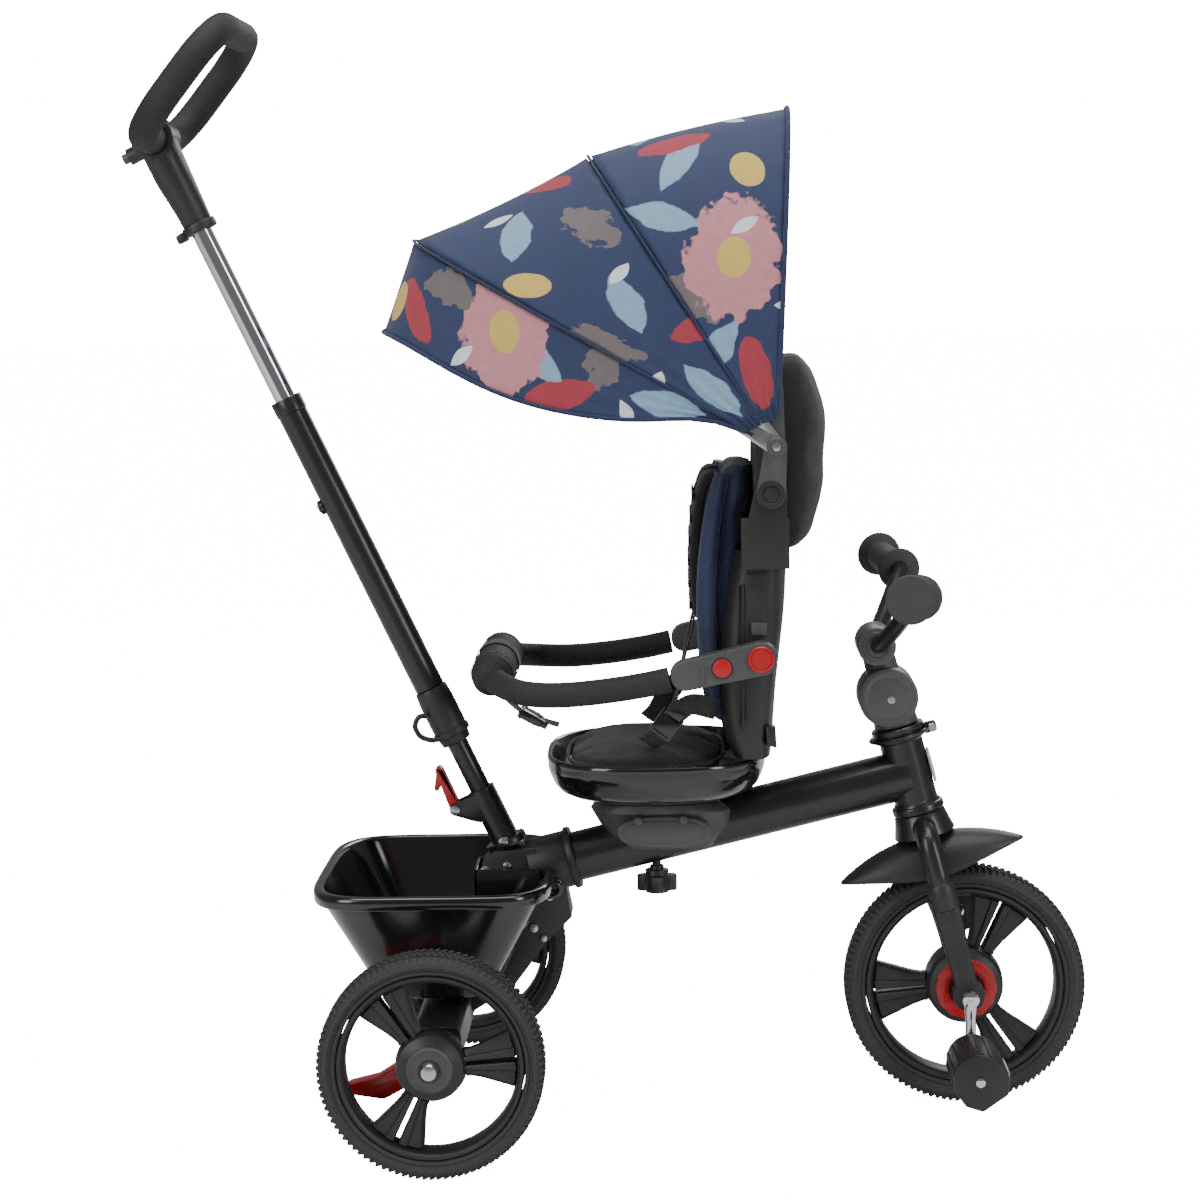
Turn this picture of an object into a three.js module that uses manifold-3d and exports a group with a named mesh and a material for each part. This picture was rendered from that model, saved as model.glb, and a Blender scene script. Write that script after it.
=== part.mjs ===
// Children's tricycle with a parent's push handle, a swivelling seat and a folding canopy.
// Millimetres. +X runs forward, +Y to the rider's left when the seat faces forward, +Z up.
// The origin is on the ground straight below the front axle.
import * as THREE from 'three';
import { mergeVertices } from 'three/addons/utils/BufferGeometryUtils.js';
import Module from 'manifold-3d';

const wasm = await Module();
wasm.setup();

// ---- Driving dimensions ------------------------------------------------------------------
const gap = 0.3;                    // between pieces that touch or seat on each other
const runningGap = 0.8;             // between pieces that turn or slide in each other

const wheelbase = 489;              // front axle to rear axle
const rearTrack = 440;              // between the middles of the rear tyres
const frontWheelDiameter = 228.6;
const rearWheelDiameter = 203.2;
const tyreWidth = 42;
const tyreDepth = 0.18;             // share of the wheel's radius that is tyre
const wheelFacets = 32;
const roundSides = 12;              // facets of most round pieces

const axleRadius = 5;
const rearHubRadius = 31;
const frontHubRadius = 36;
const rearHubWidth = 36;
const frontHubWidth = 50;

const steeringTilt = 14;            // degrees, the head tube leans back
const steererRadius = 11;
const headTubeRadius = 20.5;
const headTubeLength = 83.5;
const forkTubeRadius = 11;
const forkLegSpread = 47.5;         // from the mid-plane to a leg's centre
const mudguardClearance = 33.5;     // tyre to the top of the mudguard
const barTubeRadius = 8;
const gripRadius = 14;
const gripLength = 84;
const handlebarHalfWidth = 200;

const crankLength = 54;
const pedalLength = 78;

const mainTubeRadius = 23.5;
const mainTubeWall = 2.5;

const poleTilt = 25;                // degrees, the push pole leans back
const poleRadius = 9.8;
const sleeveRadius = 14;
const sleeveLength = 304;
const chromeRadius = 10;
const chromeLength = 320;
const chromeShown = 205;            // how far the chrome tube stands out of its sleeve
const loopWidth = 195;              // push handle's loop, between tube centres
const loopLength = 122;
const loopFoamRadius = 14;

const basketLength = 223;
const basketWidth = 294;
const basketDepth = 105;
const basketWall = 3;

const seatLength = 205;
const seatWidth = 244;
const backWidth = 224;
const backShellHeight = 191;
const backWall = 4;
const armReach = 245;               // safety bar, from its pivot to the bumper's middle
const armTubeRadius = 11.5;
const bumperRadius = 20;

const canopyWidth = 276;
const clothThickness = 1.6;
const bowRadius = 3;

// ---- Materials -----------------------------------------------------------------------------
function finish(color, roughness, metalness) {
  return new THREE.MeshStandardMaterial({ color, roughness, metalness });
}
const satinBlack = () => finish(0x1b1b1d, 0.42, 0.3);
const plastic = () => finish(0x202022, 0.5, 0);
const greyPlastic = () => finish(0x4a4b4d, 0.55, 0);
const glossBlack = () => finish(0x0f0f11, 0.18, 0);
const foam = () => finish(0x1c1c1d, 0.9, 0);
const rubber = () => finish(0x2a2a2b, 0.85, 0);
const chrome = () => finish(0xd8d8d8, 0.12, 1);
const steel = () => finish(0xa8a8aa, 0.35, 1);
const red = () => finish(0xc4161c, 0.35, 0);
const navyCloth = () => finish(0x1d2c52, 0.9, 0);
const blackCloth = () => finish(0x161618, 0.95, 0);

// ---- Solids --------------------------------------------------------------------------------
function point(x, y, z) {
  return new THREE.Vector3(x, y, z);
}

function signedVolume(position, index) {
  const a = new THREE.Vector3();
  const b = new THREE.Vector3();
  const c = new THREE.Vector3();
  let sum = 0;
  for (let i = 0; i < index.count; i += 3) {
    a.fromBufferAttribute(position, index.getX(i));
    b.fromBufferAttribute(position, index.getX(i + 1));
    c.fromBufferAttribute(position, index.getX(i + 2));
    sum += a.dot(b.cross(c));
  }
  return sum / 6;
}

// A three.js geometry as a boolean solid, turned the right way out.
function toSolid(geometry) {
  const bare = geometry.clone();
  bare.deleteAttribute('normal');
  bare.deleteAttribute('uv');
  const merged = mergeVertices(bare, 1e-3);
  const triVerts = Uint32Array.from(merged.index.array);
  if (signedVolume(merged.attributes.position, merged.index) < 0) {
    for (let i = 0; i < triVerts.length; i += 3) {
      const first = triVerts[i];
      triVerts[i] = triVerts[i + 1];
      triVerts[i + 1] = first;
    }
  }
  const vertProperties = Float32Array.from(merged.attributes.position.array);
  return new wasm.Manifold(new wasm.Mesh({ numProp: 3, vertProperties, triVerts }));
}

function fromSolid(body) {
  const { vertProperties, triVerts } = body.getMesh();
  const geometry = new THREE.BufferGeometry();
  geometry.setAttribute('position', new THREE.BufferAttribute(Float32Array.from(vertProperties), 3));
  geometry.setIndex(new THREE.BufferAttribute(Uint32Array.from(triVerts), 1));
  geometry.computeVertexNormals();
  return geometry;
}

function join(...geometries) {
  return fromSolid(geometries.map(toSolid).reduce((sum, next) => sum.add(next)));
}

function cut(base, ...tools) {
  return fromSolid(tools.map(toSolid).reduce((rest, tool) => rest.subtract(tool), toSolid(base)));
}

function boxBetween(x0, x1, y0, y1, z0, z1) {
  const geometry = new THREE.BoxGeometry(x1 - x0, Math.abs(y1 - y0), z1 - z0);
  return geometry.translate((x0 + x1) / 2, (y0 + y1) / 2, (z0 + z1) / 2);
}

// A cylinder along Y, from y0 to y1, at x and z.
function drumY(radius, y0, y1, x = 0, z = 0, facets = roundSides) {
  const geometry = new THREE.CylinderGeometry(radius, radius, Math.abs(y1 - y0), facets);
  return geometry.translate(x, (y0 + y1) / 2, z);
}

function drumZ(radius, z0, z1, x = 0, y = 0, facets = roundSides) {
  const geometry = new THREE.CylinderGeometry(radius, radius, z1 - z0, facets);
  return geometry.rotateX(Math.PI / 2).translate(x, y, (z0 + z1) / 2);
}

function drumX(radius, x0, x1, y = 0, z = 0, facets = roundSides) {
  const geometry = new THREE.CylinderGeometry(radius, radius, Math.abs(x1 - x0), facets);
  return geometry.rotateZ(Math.PI / 2).translate((x0 + x1) / 2, y, z);
}

// A straight rod between two points.
function rod(from, to, radius, facets = roundSides) {
  const along = to.clone().sub(from);
  const geometry = new THREE.CylinderGeometry(radius, radius, along.length(), facets);
  const turn = new THREE.Quaternion().setFromUnitVectors(point(0, 1, 0), along.clone().normalize());
  geometry.applyQuaternion(turn);
  const middle = from.clone().add(to).multiplyScalar(0.5);
  return geometry.translate(middle.x, middle.y, middle.z);
}

// A round tube along a smooth curve through points.
function bentTube(points, radius, steps, facets = 8) {
  const section = new THREE.Shape();
  section.absarc(0, 0, radius, 0, 2 * Math.PI);
  const outline = section.getPoints(Math.ceil(facets / 2)).slice(0, -1);
  const extrudePath = new THREE.CatmullRomCurve3(points, false, 'centripetal');
  return new THREE.ExtrudeGeometry(new THREE.Shape(outline), { steps, extrudePath });
}

// A flat plate whose outline is drawn in X and Z, from y0 to y1.
function plate(shape, y0, y1, curveSegments = 4) {
  const depth = Math.abs(y1 - y0);
  const geometry = new THREE.ExtrudeGeometry(shape, { depth, bevelEnabled: false, curveSegments });
  return geometry.rotateX(Math.PI / 2).translate(0, Math.max(y0, y1), 0);
}

function outlineOf(corners) {
  return new THREE.Shape(corners.map(([x, z]) => new THREE.Vector2(x, z)));
}

// Two circles and their common tangents, drawn in X and Z: a link, a lever or an arm.
function linkShape(x0, z0, r0, x1, z1, r1) {
  const heading = Math.atan2(z1 - z0, x1 - x0);
  const spread = Math.acos((r0 - r1) / Math.hypot(x1 - x0, z1 - z0));
  const shape = new THREE.Shape();
  shape.absarc(x0, z0, r0, heading + spread, heading - spread + 2 * Math.PI);
  shape.absarc(x1, z1, r1, heading - spread, heading + spread);
  return shape;
}

// A rounded oblong of points, level at height z.
function oblong(x, z, halfLength, halfWidth, power = 3, count = 20, y = 0) {
  const points = [];
  for (let i = 0; i < count; i += 1) {
    const angle = (2 * Math.PI * i) / count;
    const c = Math.cos(angle);
    const s = Math.sin(angle);
    const px = Math.sign(c) * Math.abs(c) ** (2 / power) * halfLength;
    const py = Math.sign(s) * Math.abs(s) ** (2 / power) * halfWidth;
    points.push(point(x + px, y + py, z));
  }
  return points;
}

// A closed body through rings of equally many points, with a flat cap at each end.
function loft(rings) {
  const count = rings[0].length;
  const points = rings.flat();
  const index = [];
  for (let r = 0; r < rings.length - 1; r += 1) {
    for (let i = 0; i < count; i += 1) {
      const next = (i + 1) % count;
      const a = r * count + i;
      const b = r * count + next;
      index.push(a, b, b + count, a, b + count, a + count);
    }
  }
  for (const [start, order] of [[0, -1], [(rings.length - 1) * count, 1]]) {
    const centre = points.length;
    const sum = new THREE.Vector3();
    for (let i = 0; i < count; i += 1) {
      sum.add(points[start + i]);
    }
    points.push(sum.divideScalar(count));
    for (let i = 0; i < count; i += 1) {
      const a = start + i;
      const b = start + ((i + 1) % count);
      index.push(centre, ...(order > 0 ? [a, b] : [b, a]));
    }
  }
  const geometry = new THREE.BufferGeometry().setFromPoints(points);
  geometry.setIndex(index);
  return fromSolid(toSolid(geometry));
}

// A thin closed body between an outer and an inner grid of points.
function sheetBody(outer, inner) {
  const rings = outer.map((row, r) => [...row, ...inner[r].slice().reverse()]);
  return loftStrip(rings);
}

// Like loft, for thin sections: each end is closed by a strip between its two long sides.
function loftStrip(rings) {
  const count = rings[0].length;
  const half = count / 2;
  const index = [];
  for (let r = 0; r < rings.length - 1; r += 1) {
    for (let i = 0; i < count; i += 1) {
      const next = (i + 1) % count;
      const a = r * count + i;
      const b = r * count + next;
      index.push(a, b, b + count, a, b + count, a + count);
    }
  }
  for (const [start, order] of [[0, -1], [(rings.length - 1) * count, 1]]) {
    for (let i = 0; i < half - 1; i += 1) {
      const a = start + i;
      const b = start + i + 1;
      const c = start + count - 2 - i;
      const d = start + count - 1 - i;
      index.push(...(order > 0 ? [a, b, c, a, c, d] : [b, a, c, c, a, d]));
    }
  }
  const geometry = new THREE.BufferGeometry().setFromPoints(rings.flat());
  geometry.setIndex(index);
  return fromSolid(toSolid(geometry));
}

const tricycle = new THREE.Group();

// Every piece is made a merged solid on its way in, with its faces turned out.
function add(parent, name, geometry, material) {
  const mesh = new THREE.Mesh(fromSolid(toSolid(geometry)), material);
  mesh.name = name;
  parent.add(mesh);
  return mesh;
}

const sides = [['right', -1], ['left', 1]];

// ---- Wheels --------------------------------------------------------------------------------
const frontRadius = frontWheelDiameter / 2;
const rearRadius = rearWheelDiameter / 2;
const cornerFactor = 1 / Math.cos(Math.PI / wheelFacets);

// Both tyre and rim have a flat facet straight below the axle.
function turned(profile) {
  const closed = [...profile, profile[0]].map(([r, y]) => new THREE.Vector2(r * cornerFactor, y));
  return new THREE.LatheGeometry(closed, wheelFacets, Math.PI / wheelFacets);
}

function tyre(radius, width) {
  const inner = radius * (1 - tyreDepth);
  const half = width / 2;
  const tread = width * 0.22;
  return turned([
    [inner, half - 5],
    [radius - 11, half],
    [radius - 4, half - 3.5],
    [radius, tread],
    [radius, -tread],
    [radius - 4, 3.5 - half],
    [radius - 11, -half],
    [inner, 5 - half],
  ]);
}

// Three fan spokes, each with a slot along its middle.
function spokePlate(hubRadius, ringRadius, firstSpoke) {
  const shape = new THREE.Shape();
  shape.absarc(0, 0, ringRadius + 5, 0, 2 * Math.PI);
  const innerEdge = hubRadius - 2;
  const halfSpoke = THREE.MathUtils.degToRad(20);
  const third = (2 * Math.PI) / 3;
  for (let i = 0; i < 3; i += 1) {
    const middle = THREE.MathUtils.degToRad(firstSpoke) + i * third;
    const from = middle + halfSpoke;
    const to = middle + third - halfSpoke;
    const window = new THREE.Path();
    window.absarc(0, 0, ringRadius, from, to, false);
    window.absarc(0, 0, innerEdge, to, from, true);
    shape.holes.push(window);
    const along = new THREE.Vector2(Math.cos(middle), Math.sin(middle));
    const across = new THREE.Vector2(-along.y, along.x).multiplyScalar(1.5);
    const near = along.clone().multiplyScalar(hubRadius + 5);
    const far = along.clone().multiplyScalar(ringRadius - 4);
    const corners = [near.clone().sub(across), far.clone().sub(across), far.clone().add(across)];
    shape.holes.push(new THREE.Path([...corners, near.clone().add(across)]));
  }
  return plate(shape, -7, 7, 6);
}

function rim(radius, width, hubRadius, hubWidth, bore, firstSpoke) {
  const outer = radius * (1 - tyreDepth) - gap;
  const inner = outer * 0.92;
  const half = width / 2 - 7;
  const ring = turned([[inner, half], [outer, half], [outer, -half], [inner, -half]]);
  const hub = drumY(hubRadius, -hubWidth / 2, hubWidth / 2);
  const body = join(ring, spokePlate(hubRadius, inner, firstSpoke), hub);
  return cut(body, drumY(bore, -hubWidth, hubWidth));
}

const rearCapThickness = 4.7;
for (const [side, sign] of sides) {
  const wheel = new THREE.Group();
  wheel.position.set(-wheelbase, (sign * rearTrack) / 2, rearRadius);
  add(wheel, `rear_tyre_${side}`, tyre(rearRadius, tyreWidth), rubber());
  const bore = axleRadius + runningGap;
  const rimBody = rim(rearRadius, tyreWidth, rearHubRadius, rearHubWidth, bore, 4.5);
  add(wheel, `rear_rim_${side}`, rimBody, plastic());
  const face = sign * (rearHubWidth / 2 + gap);
  const cap = drumY(21, face, face + sign * rearCapThickness);
  add(wheel, `hub_cap_${side}`, cut(cap, drumY(bore, -60, 60)), greyPlastic());
  tricycle.add(wheel);
}

const frontWheel = new THREE.Group();
frontWheel.position.set(0, 0, frontRadius);
tricycle.add(frontWheel);
add(frontWheel, 'front_tyre', tyre(frontRadius, tyreWidth), rubber());
const crankAxleRadius = 6;
const crankBore = crankAxleRadius + runningGap;
const frontRim = rim(frontRadius, tyreWidth, frontHubRadius, frontHubWidth, crankBore, 65);
add(frontWheel, 'front_rim', frontRim, plastic());
const clutchFace = -(frontHubWidth / 2 + gap);
const clutchRing = drumY(29, clutchFace, clutchFace - 4.5);
add(frontWheel, 'clutch_ring', cut(clutchRing, drumY(17, -60, 0)), red());

// ---- Crank and pedals ------------------------------------------------------------------------
const legOuter = forkLegSpread + forkTubeRadius;
const crankArmY = legOuter + 9;
function crankSide(sign) {
  const y = sign * crankArmY;
  const end = sign * crankLength;
  const pinEnd = sign * (crankArmY + 8 + pedalLength + 3);
  const foot = point(0, y, end);
  const arm = rod(point(0, y, 0), foot, 6, 12);
  const knuckles = join(drumY(8, y - 6, y + 6), drumY(7.5, y - 6, y + 6, 0, end, 16));
  return join(arm, knuckles, drumY(4.5, y, pinEnd, 0, end, 12));
}
const crankAxle = drumY(crankAxleRadius, -crankArmY, crankArmY);
add(frontWheel, 'crank', join(crankAxle, crankSide(-1), crankSide(1)), chrome());

// A chunky block with a domed tread, which turns on the crank's pin.
function pedal(sign) {
  const shape = new THREE.Shape();
  shape.moveTo(-24, -12);
  shape.lineTo(-24, 0);
  shape.absarc(0, 0, 24, Math.PI, 0, true);
  shape.lineTo(24, -12);
  shape.lineTo(14, -25);
  shape.lineTo(-14, -25);
  const inner = sign * (crankArmY + 8);
  const body = plate(shape, inner, inner + sign * pedalLength);
  const turn = new THREE.Matrix4().makeRotationY(THREE.MathUtils.degToRad(-35));
  return cut(body.applyMatrix4(turn), drumY(4.5 + runningGap, -300, 300));
}
for (const [side, sign] of sides) {
  add(frontWheel, `pedal_${side}`, pedal(sign), plastic()).position.z = sign * crankLength;
}

// ---- Fork, mudguard and handlebar: drawn along the steering axis, from the front axle ---------
const steering = new THREE.Group();
steering.position.set(0, 0, frontRadius);
steering.rotation.y = -THREE.MathUtils.degToRad(steeringTilt);
tricycle.add(steering);

const mudguardTop = frontRadius + mudguardClearance;
const archTop = mudguardTop + 0.5 + forkTubeRadius;
const headBottom = archTop + forkTubeRadius + 1;
const headTop = headBottom + headTubeLength;
const stemHeight = headTop + 31;
const clampHeight = stemHeight + 50;

function forkArch() {
  const low = [];
  for (const [, sign] of sides) {
    low.push([
      point(0, sign * forkLegSpread, 0),
      point(0, sign * forkLegSpread, archTop * 0.4),
      point(0, sign * forkLegSpread, archTop * 0.72),
      point(0, sign * forkLegSpread * 0.86, archTop * 0.93),
      point(0, sign * forkLegSpread * 0.45, archTop * 0.99),
    ]);
  }
  const path = [...low[0], point(0, 0, archTop), ...low[1].reverse()];
  return bentTube(path, forkTubeRadius, 20, 8);
}
function fork() {
  const legEnds = [];
  for (const [, sign] of sides) {
    const y = sign * forkLegSpread;
    legEnds.push(drumY(15, y - 8, y + 8));
    legEnds.push(boxBetween(-12, 12, y - 9, y + 9, 0, archTop * 0.55));
  }
  const steerer = drumZ(steererRadius, archTop, stemHeight - 30);
  const crownHeight = headBottom - 1 - mudguardTop - 0.5;
  const crown = new THREE.CylinderGeometry(23, 29, crownHeight, 16).rotateX(Math.PI / 2);
  crown.translate(0, 0, headBottom - 1 - crownHeight / 2);
  return cut(join(forkArch(), steerer, crown, ...legEnds), drumY(crankBore, -90, 90));
}
add(steering, 'fork', fork(), satinBlack());

// A leaf that wraps over the tyre, pointed front and rear.
function mudguard() {
  const wall = 2.4;
  const outer = [];
  const inner = [];
  for (let i = 0; i <= 12; i += 1) {
    const t = -1 + i / 6;
    const fullness = Math.sqrt(1 - 0.96 * t * t);
    const halfWidth = 31 * fullness;
    const depth = 38 * fullness ** 2;
    const around = THREE.MathUtils.degToRad(t * 36);
    const rowOut = [];
    const rowIn = [];
    for (let k = 0; k <= 8; k += 1) {
      const across = ((k - 4) / 4) * (Math.PI / 2);
      const drop = depth * (1 - Math.cos(across));
      for (const [row, shrink] of [[rowOut, 0], [rowIn, wall]]) {
        const reach = mudguardTop + 4 * t * t - drop - shrink * Math.cos(across);
        const y = (halfWidth - shrink) * Math.sin(across);
        row.push(point(reach * Math.sin(around), y, reach * Math.cos(around)));
      }
    }
    outer.push(rowOut);
    inner.push(rowIn);
  }
  return sheetBody(outer, inner);
}
add(steering, 'mudguard', mudguard(), satinBlack());

function handlebarPath() {
  const half = [
    [3, 30, 2],
    [19, 64, 18],
    [37, 96, 38],
    [45, handlebarHalfWidth - 82, 47],
    [39, handlebarHalfWidth - 43, 52.2],
    [33, handlebarHalfWidth - 4, 57.5],
  ];
  const left = half.map(([x, y, z]) => point(x, y, clampHeight + z));
  const right = half.map(([x, y, z]) => point(x, -y, clampHeight + z)).reverse();
  return [...right, point(0, 0, clampHeight), ...left];
}
add(steering, 'handlebar', bentTube(handlebarPath(), barTubeRadius, 24, 8), satinBlack());

function grip(sign) {
  const profile = [
    [0, 0],
    [gripRadius + 7, 0],
    [gripRadius + 7, 4],
    [gripRadius, 7],
    [gripRadius, gripLength - 6],
    [gripRadius + 8, gripLength - 4],
    [gripRadius + 8, gripLength],
    [0, gripLength],
  ].map(([r, y]) => new THREE.Vector2(r, y));
  const geometry = new THREE.LatheGeometry(profile, roundSides);
  const inner = point(45, sign * (handlebarHalfWidth - 82), clampHeight + 47);
  const outer = point(33, sign * (handlebarHalfWidth - 4), clampHeight + 57.5);
  const along = outer.clone().sub(inner).normalize();
  geometry.applyQuaternion(new THREE.Quaternion().setFromUnitVectors(point(0, 1, 0), along));
  geometry.translate(inner.x, inner.y, inner.z);
  return cut(geometry, bentTube(handlebarPath(), barTubeRadius + 0.5, 24, 8));
}
for (const [side, sign] of sides) {
  add(steering, `grip_${side}`, grip(sign), rubber());
}

function stem() {
  const drum = drumY(28, -24, 24, -1.5, stemHeight, 16);
  const foot = drumZ(20, headTop + 1, stemHeight);
  const neck = drumZ(15, stemHeight, clampHeight);
  const clamp = drumY(18, -27, 27, 0, clampHeight);
  const steererHole = drumZ(steererRadius + gap, 0, stemHeight - 30 + gap);
  const barHole = bentTube(handlebarPath(), barTubeRadius + gap, 24, 8);
  return cut(join(drum, foot, neck, clamp), steererHole, barHole);
}
add(steering, 'stem', stem(), greyPlastic());

// ---- Frame: head tube, main tube and what is fixed to them -----------------------------------
const headGroup = new THREE.Group();
headGroup.position.copy(steering.position);
headGroup.rotation.copy(steering.rotation);
tricycle.add(headGroup);

function headTube() {
  const profile = [
    [headTubeRadius, headBottom + 10],
    [headTubeRadius, headTop - 13],
    [headTubeRadius + 3, headTop - 11],
    [headTubeRadius + 3, headTop],
    [steererRadius + runningGap, headTop],
    [steererRadius + runningGap, headBottom],
    [headTubeRadius + 3.5, headBottom],
    [headTubeRadius + 3.5, headBottom + 7],
    [headTubeRadius, headBottom + 10],
  ].map(([r, y]) => new THREE.Vector2(r, y));
  return new THREE.LatheGeometry(profile, 16).rotateX(Math.PI / 2);
}
add(headGroup, 'head_tube', headTube(), satinBlack());
const badgeHeight = (headBottom + headTop) / 2 - 2;
const badge = drumX(17, headTubeRadius + gap, headTubeRadius + 3, 0, badgeHeight, 20);
add(headGroup, 'head_badge', badge, steel());

headGroup.updateMatrixWorld(true);
const tubeJointHeight = headTop - 47.3;
const tubeFront = point(0, 0, tubeJointHeight).applyMatrix4(headGroup.matrixWorld);
const tubeRear = point(-wheelbase + 88, 0, rearRadius + 130.5);
const tubeSlope = (tubeFront.z - tubeRear.z) / (tubeFront.x - tubeRear.x);
const tubeDirection = tubeFront.clone().sub(tubeRear).normalize();

const steererSpace = new THREE.CylinderGeometry(headTubeRadius + gap, headTubeRadius + gap, 300, 16);
steererSpace.rotateX(Math.PI / 2).translate(0, 0, tubeJointHeight).applyMatrix4(headGroup.matrixWorld);

const seatX = -wheelbase + 199;
const tubeHeight = (x) => tubeRear.z + tubeSlope * (x - tubeRear.x);
const knobPlace = point(seatX, 0, tubeHeight(seatX));
const knobBoltRadius = 4;
const boltSpace = drumZ(knobBoltRadius + runningGap, -60, 60, knobPlace.x, 0, 16);
boltSpace.translate(0, 0, knobPlace.z);

function mainTube() {
  const outside = rod(tubeRear, tubeFront, mainTubeRadius, 16);
  const beyond = tubeDirection.clone().multiplyScalar(40);
  const from = tubeRear.clone().sub(beyond);
  const to = tubeFront.clone().add(beyond);
  const inside = rod(from, to, mainTubeRadius - mainTubeWall, 16);
  return cut(outside, inside, steererSpace, boltSpace);
}
add(tricycle, 'main_tube', mainTube(), satinBlack());

// The link inside the main tube, between the push pole and the fork.
const linkOffset = point(0, 11, 0);
const linkFrom = tubeRear.clone().addScaledVector(tubeDirection, 14).add(linkOffset);
const linkTo = tubeFront.clone().addScaledVector(tubeDirection, -38).add(linkOffset);
add(tricycle, 'steering_link', rod(linkFrom, linkTo, 4, 10), steel());

// ---- Push pole socket and rear bracket: the pole's frame starts at its foot -------------------
const poleFoot = point(tubeRear.x - 27.3, 0, tubeRear.z + 15);
const pole = new THREE.Group();
pole.position.copy(poleFoot);
pole.rotation.y = -THREE.MathUtils.degToRad(poleTilt);
tricycle.add(pole);

const socketBottom = 6;
const socketTop = 66;
const socketWall = 2.8;
const latchPin = { x: -29, z: 59 };
function socket() {
  const tube = drumZ(poleRadius + runningGap + socketWall, socketBottom, socketTop);
  const flange = drumZ(poleRadius + 10, socketBottom, socketBottom + 7);
  const ears = [];
  for (const [, sign] of sides) {
    const shape = linkShape(-6, 50, 14, latchPin.x, latchPin.z, 5.5);
    ears.push(plate(shape, sign * 8.6, sign * 11.6));
  }
  const body = join(tube, flange, ...ears);
  const hollow = drumZ(poleRadius + runningGap, socketBottom - 1, socketTop + 30);
  return join(cut(body, hollow), drumY(2.5, -11, 11, latchPin.x, latchPin.z, 12));
}
add(pole, 'pole_socket', socket(), satinBlack());

function latchLever() {
  const grown = linkShape(latchPin.x, latchPin.z, 5, latchPin.x + 2, latchPin.z + 40, 3.5);
  const finger = linkShape(latchPin.x + 2, latchPin.z + 38, 3.5, latchPin.x - 7, latchPin.z + 26, 2.5);
  const body = join(plate(grown, -8, 8), plate(finger, -8, 8));
  return cut(body, drumY(2.5 + 0.5, -20, 20, latchPin.x, latchPin.z, 12));
}
add(pole, 'latch_lever', latchLever(), red());

const beamHalfLength = 22;
const beamHeight = 36;
const beamHalfWidth = rearTrack / 2 - 55;
const beamTop = rearRadius + beamHeight / 2;
const beamFront = -wheelbase + beamHalfLength;

pole.updateMatrixWorld(true);
function rearBracket() {
  const { x, z } = tubeRear;
  const profile = outlineOf([
    [x - 54, z + 6],
    [x - 42, z + 18],
    [x - 4, z + 20],
    [x + 24, z - 14],
    [x + 30, z - 46],
    [x + 6, z - 70],
    [x - 26, z - 112],
    [beamFront + gap, rearRadius - 6],
    [beamFront + gap, beamTop - 2],
    [x - 40, z - 88],
    [x - 26, z - 56],
    [x - 46, z - 26],
  ]);
  const web = plate(profile, -21, 21);
  const cuffEnd = tubeRear.clone().addScaledVector(tubeDirection, 30);
  const cuffStart = tubeRear.clone().addScaledVector(tubeDirection, -8);
  const cuff = rod(cuffStart, cuffEnd, mainTubeRadius + 3.5, 16);
  const tubeSpace = rod(
    tubeRear.clone().addScaledVector(tubeDirection, -gap),
    tubeFront,
    mainTubeRadius + gap,
    16,
  );
  const socketSpace = drumZ(poleRadius + 10 + gap, socketBottom - gap, 90);
  socketSpace.applyMatrix4(pole.matrixWorld);
  return cut(join(web, cuff), tubeSpace, socketSpace);
}
add(tricycle, 'rear_bracket', rearBracket(), satinBlack());

// ---- Rear axle beam, axle and brakes ----------------------------------------------------------
const brakePin = { x: -wheelbase - 14, z: rearRadius - 11 };
function axleBeam() {
  const shape = new THREE.Shape();
  const r = 8;
  const x = beamHalfLength - r;
  const z = beamHeight / 2 - r;
  shape.absarc(x, z, r, 0, Math.PI / 2);
  shape.absarc(-x, z, r, Math.PI / 2, Math.PI);
  shape.absarc(-x, -z, r, Math.PI, 1.5 * Math.PI);
  shape.absarc(x, -z, r, 1.5 * Math.PI, 2 * Math.PI);
  const bore = new THREE.Path();
  bore.absarc(0, 0, axleRadius + gap, 0, 2 * Math.PI);
  shape.holes.push(bore);
  const beam = plate(shape, -beamHalfWidth, beamHalfWidth, 6);
  beam.translate(-wheelbase, 0, rearRadius);
  const pins = sides.map(([, sign]) => {
    const from = sign * (beamHalfWidth - 5);
    return drumY(4, from, sign * (beamHalfWidth + 26), brakePin.x, brakePin.z);
  });
  return join(beam, ...pins);
}
add(tricycle, 'axle_beam', axleBeam(), satinBlack());

const axleEnd = rearTrack / 2 + rearHubWidth / 2 + rearCapThickness + 3 * gap;
function rearAxle() {
  const shaft = drumY(axleRadius, -axleEnd, axleEnd, -wheelbase, rearRadius);
  const nuts = sides.map(([, sign]) => {
    const from = sign * axleEnd;
    return drumY(8, from, from + sign * 7, -wheelbase, rearRadius, 6);
  });
  return join(shaft, ...nuts);
}
add(tricycle, 'rear_axle', rearAxle(), steel());

function brakeLever(sign) {
  const { x, z } = brakePin;
  const from = sign * (beamHalfWidth + gap + 1.7);
  const to = sign * (beamHalfWidth + 22);
  const arm = plate(linkShape(x, z, 11, x - 34, z - 20, 10), from, to);
  const tip = plate(linkShape(x - 34, z - 20, 10, x - 62, z - 21, 4.5), from, to);
  return cut(join(arm, tip), drumY(4.6, -400, 400, x, z));
}
for (const [side, sign] of sides) {
  add(tricycle, `brake_lever_${side}`, brakeLever(sign), red());
}

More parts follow.
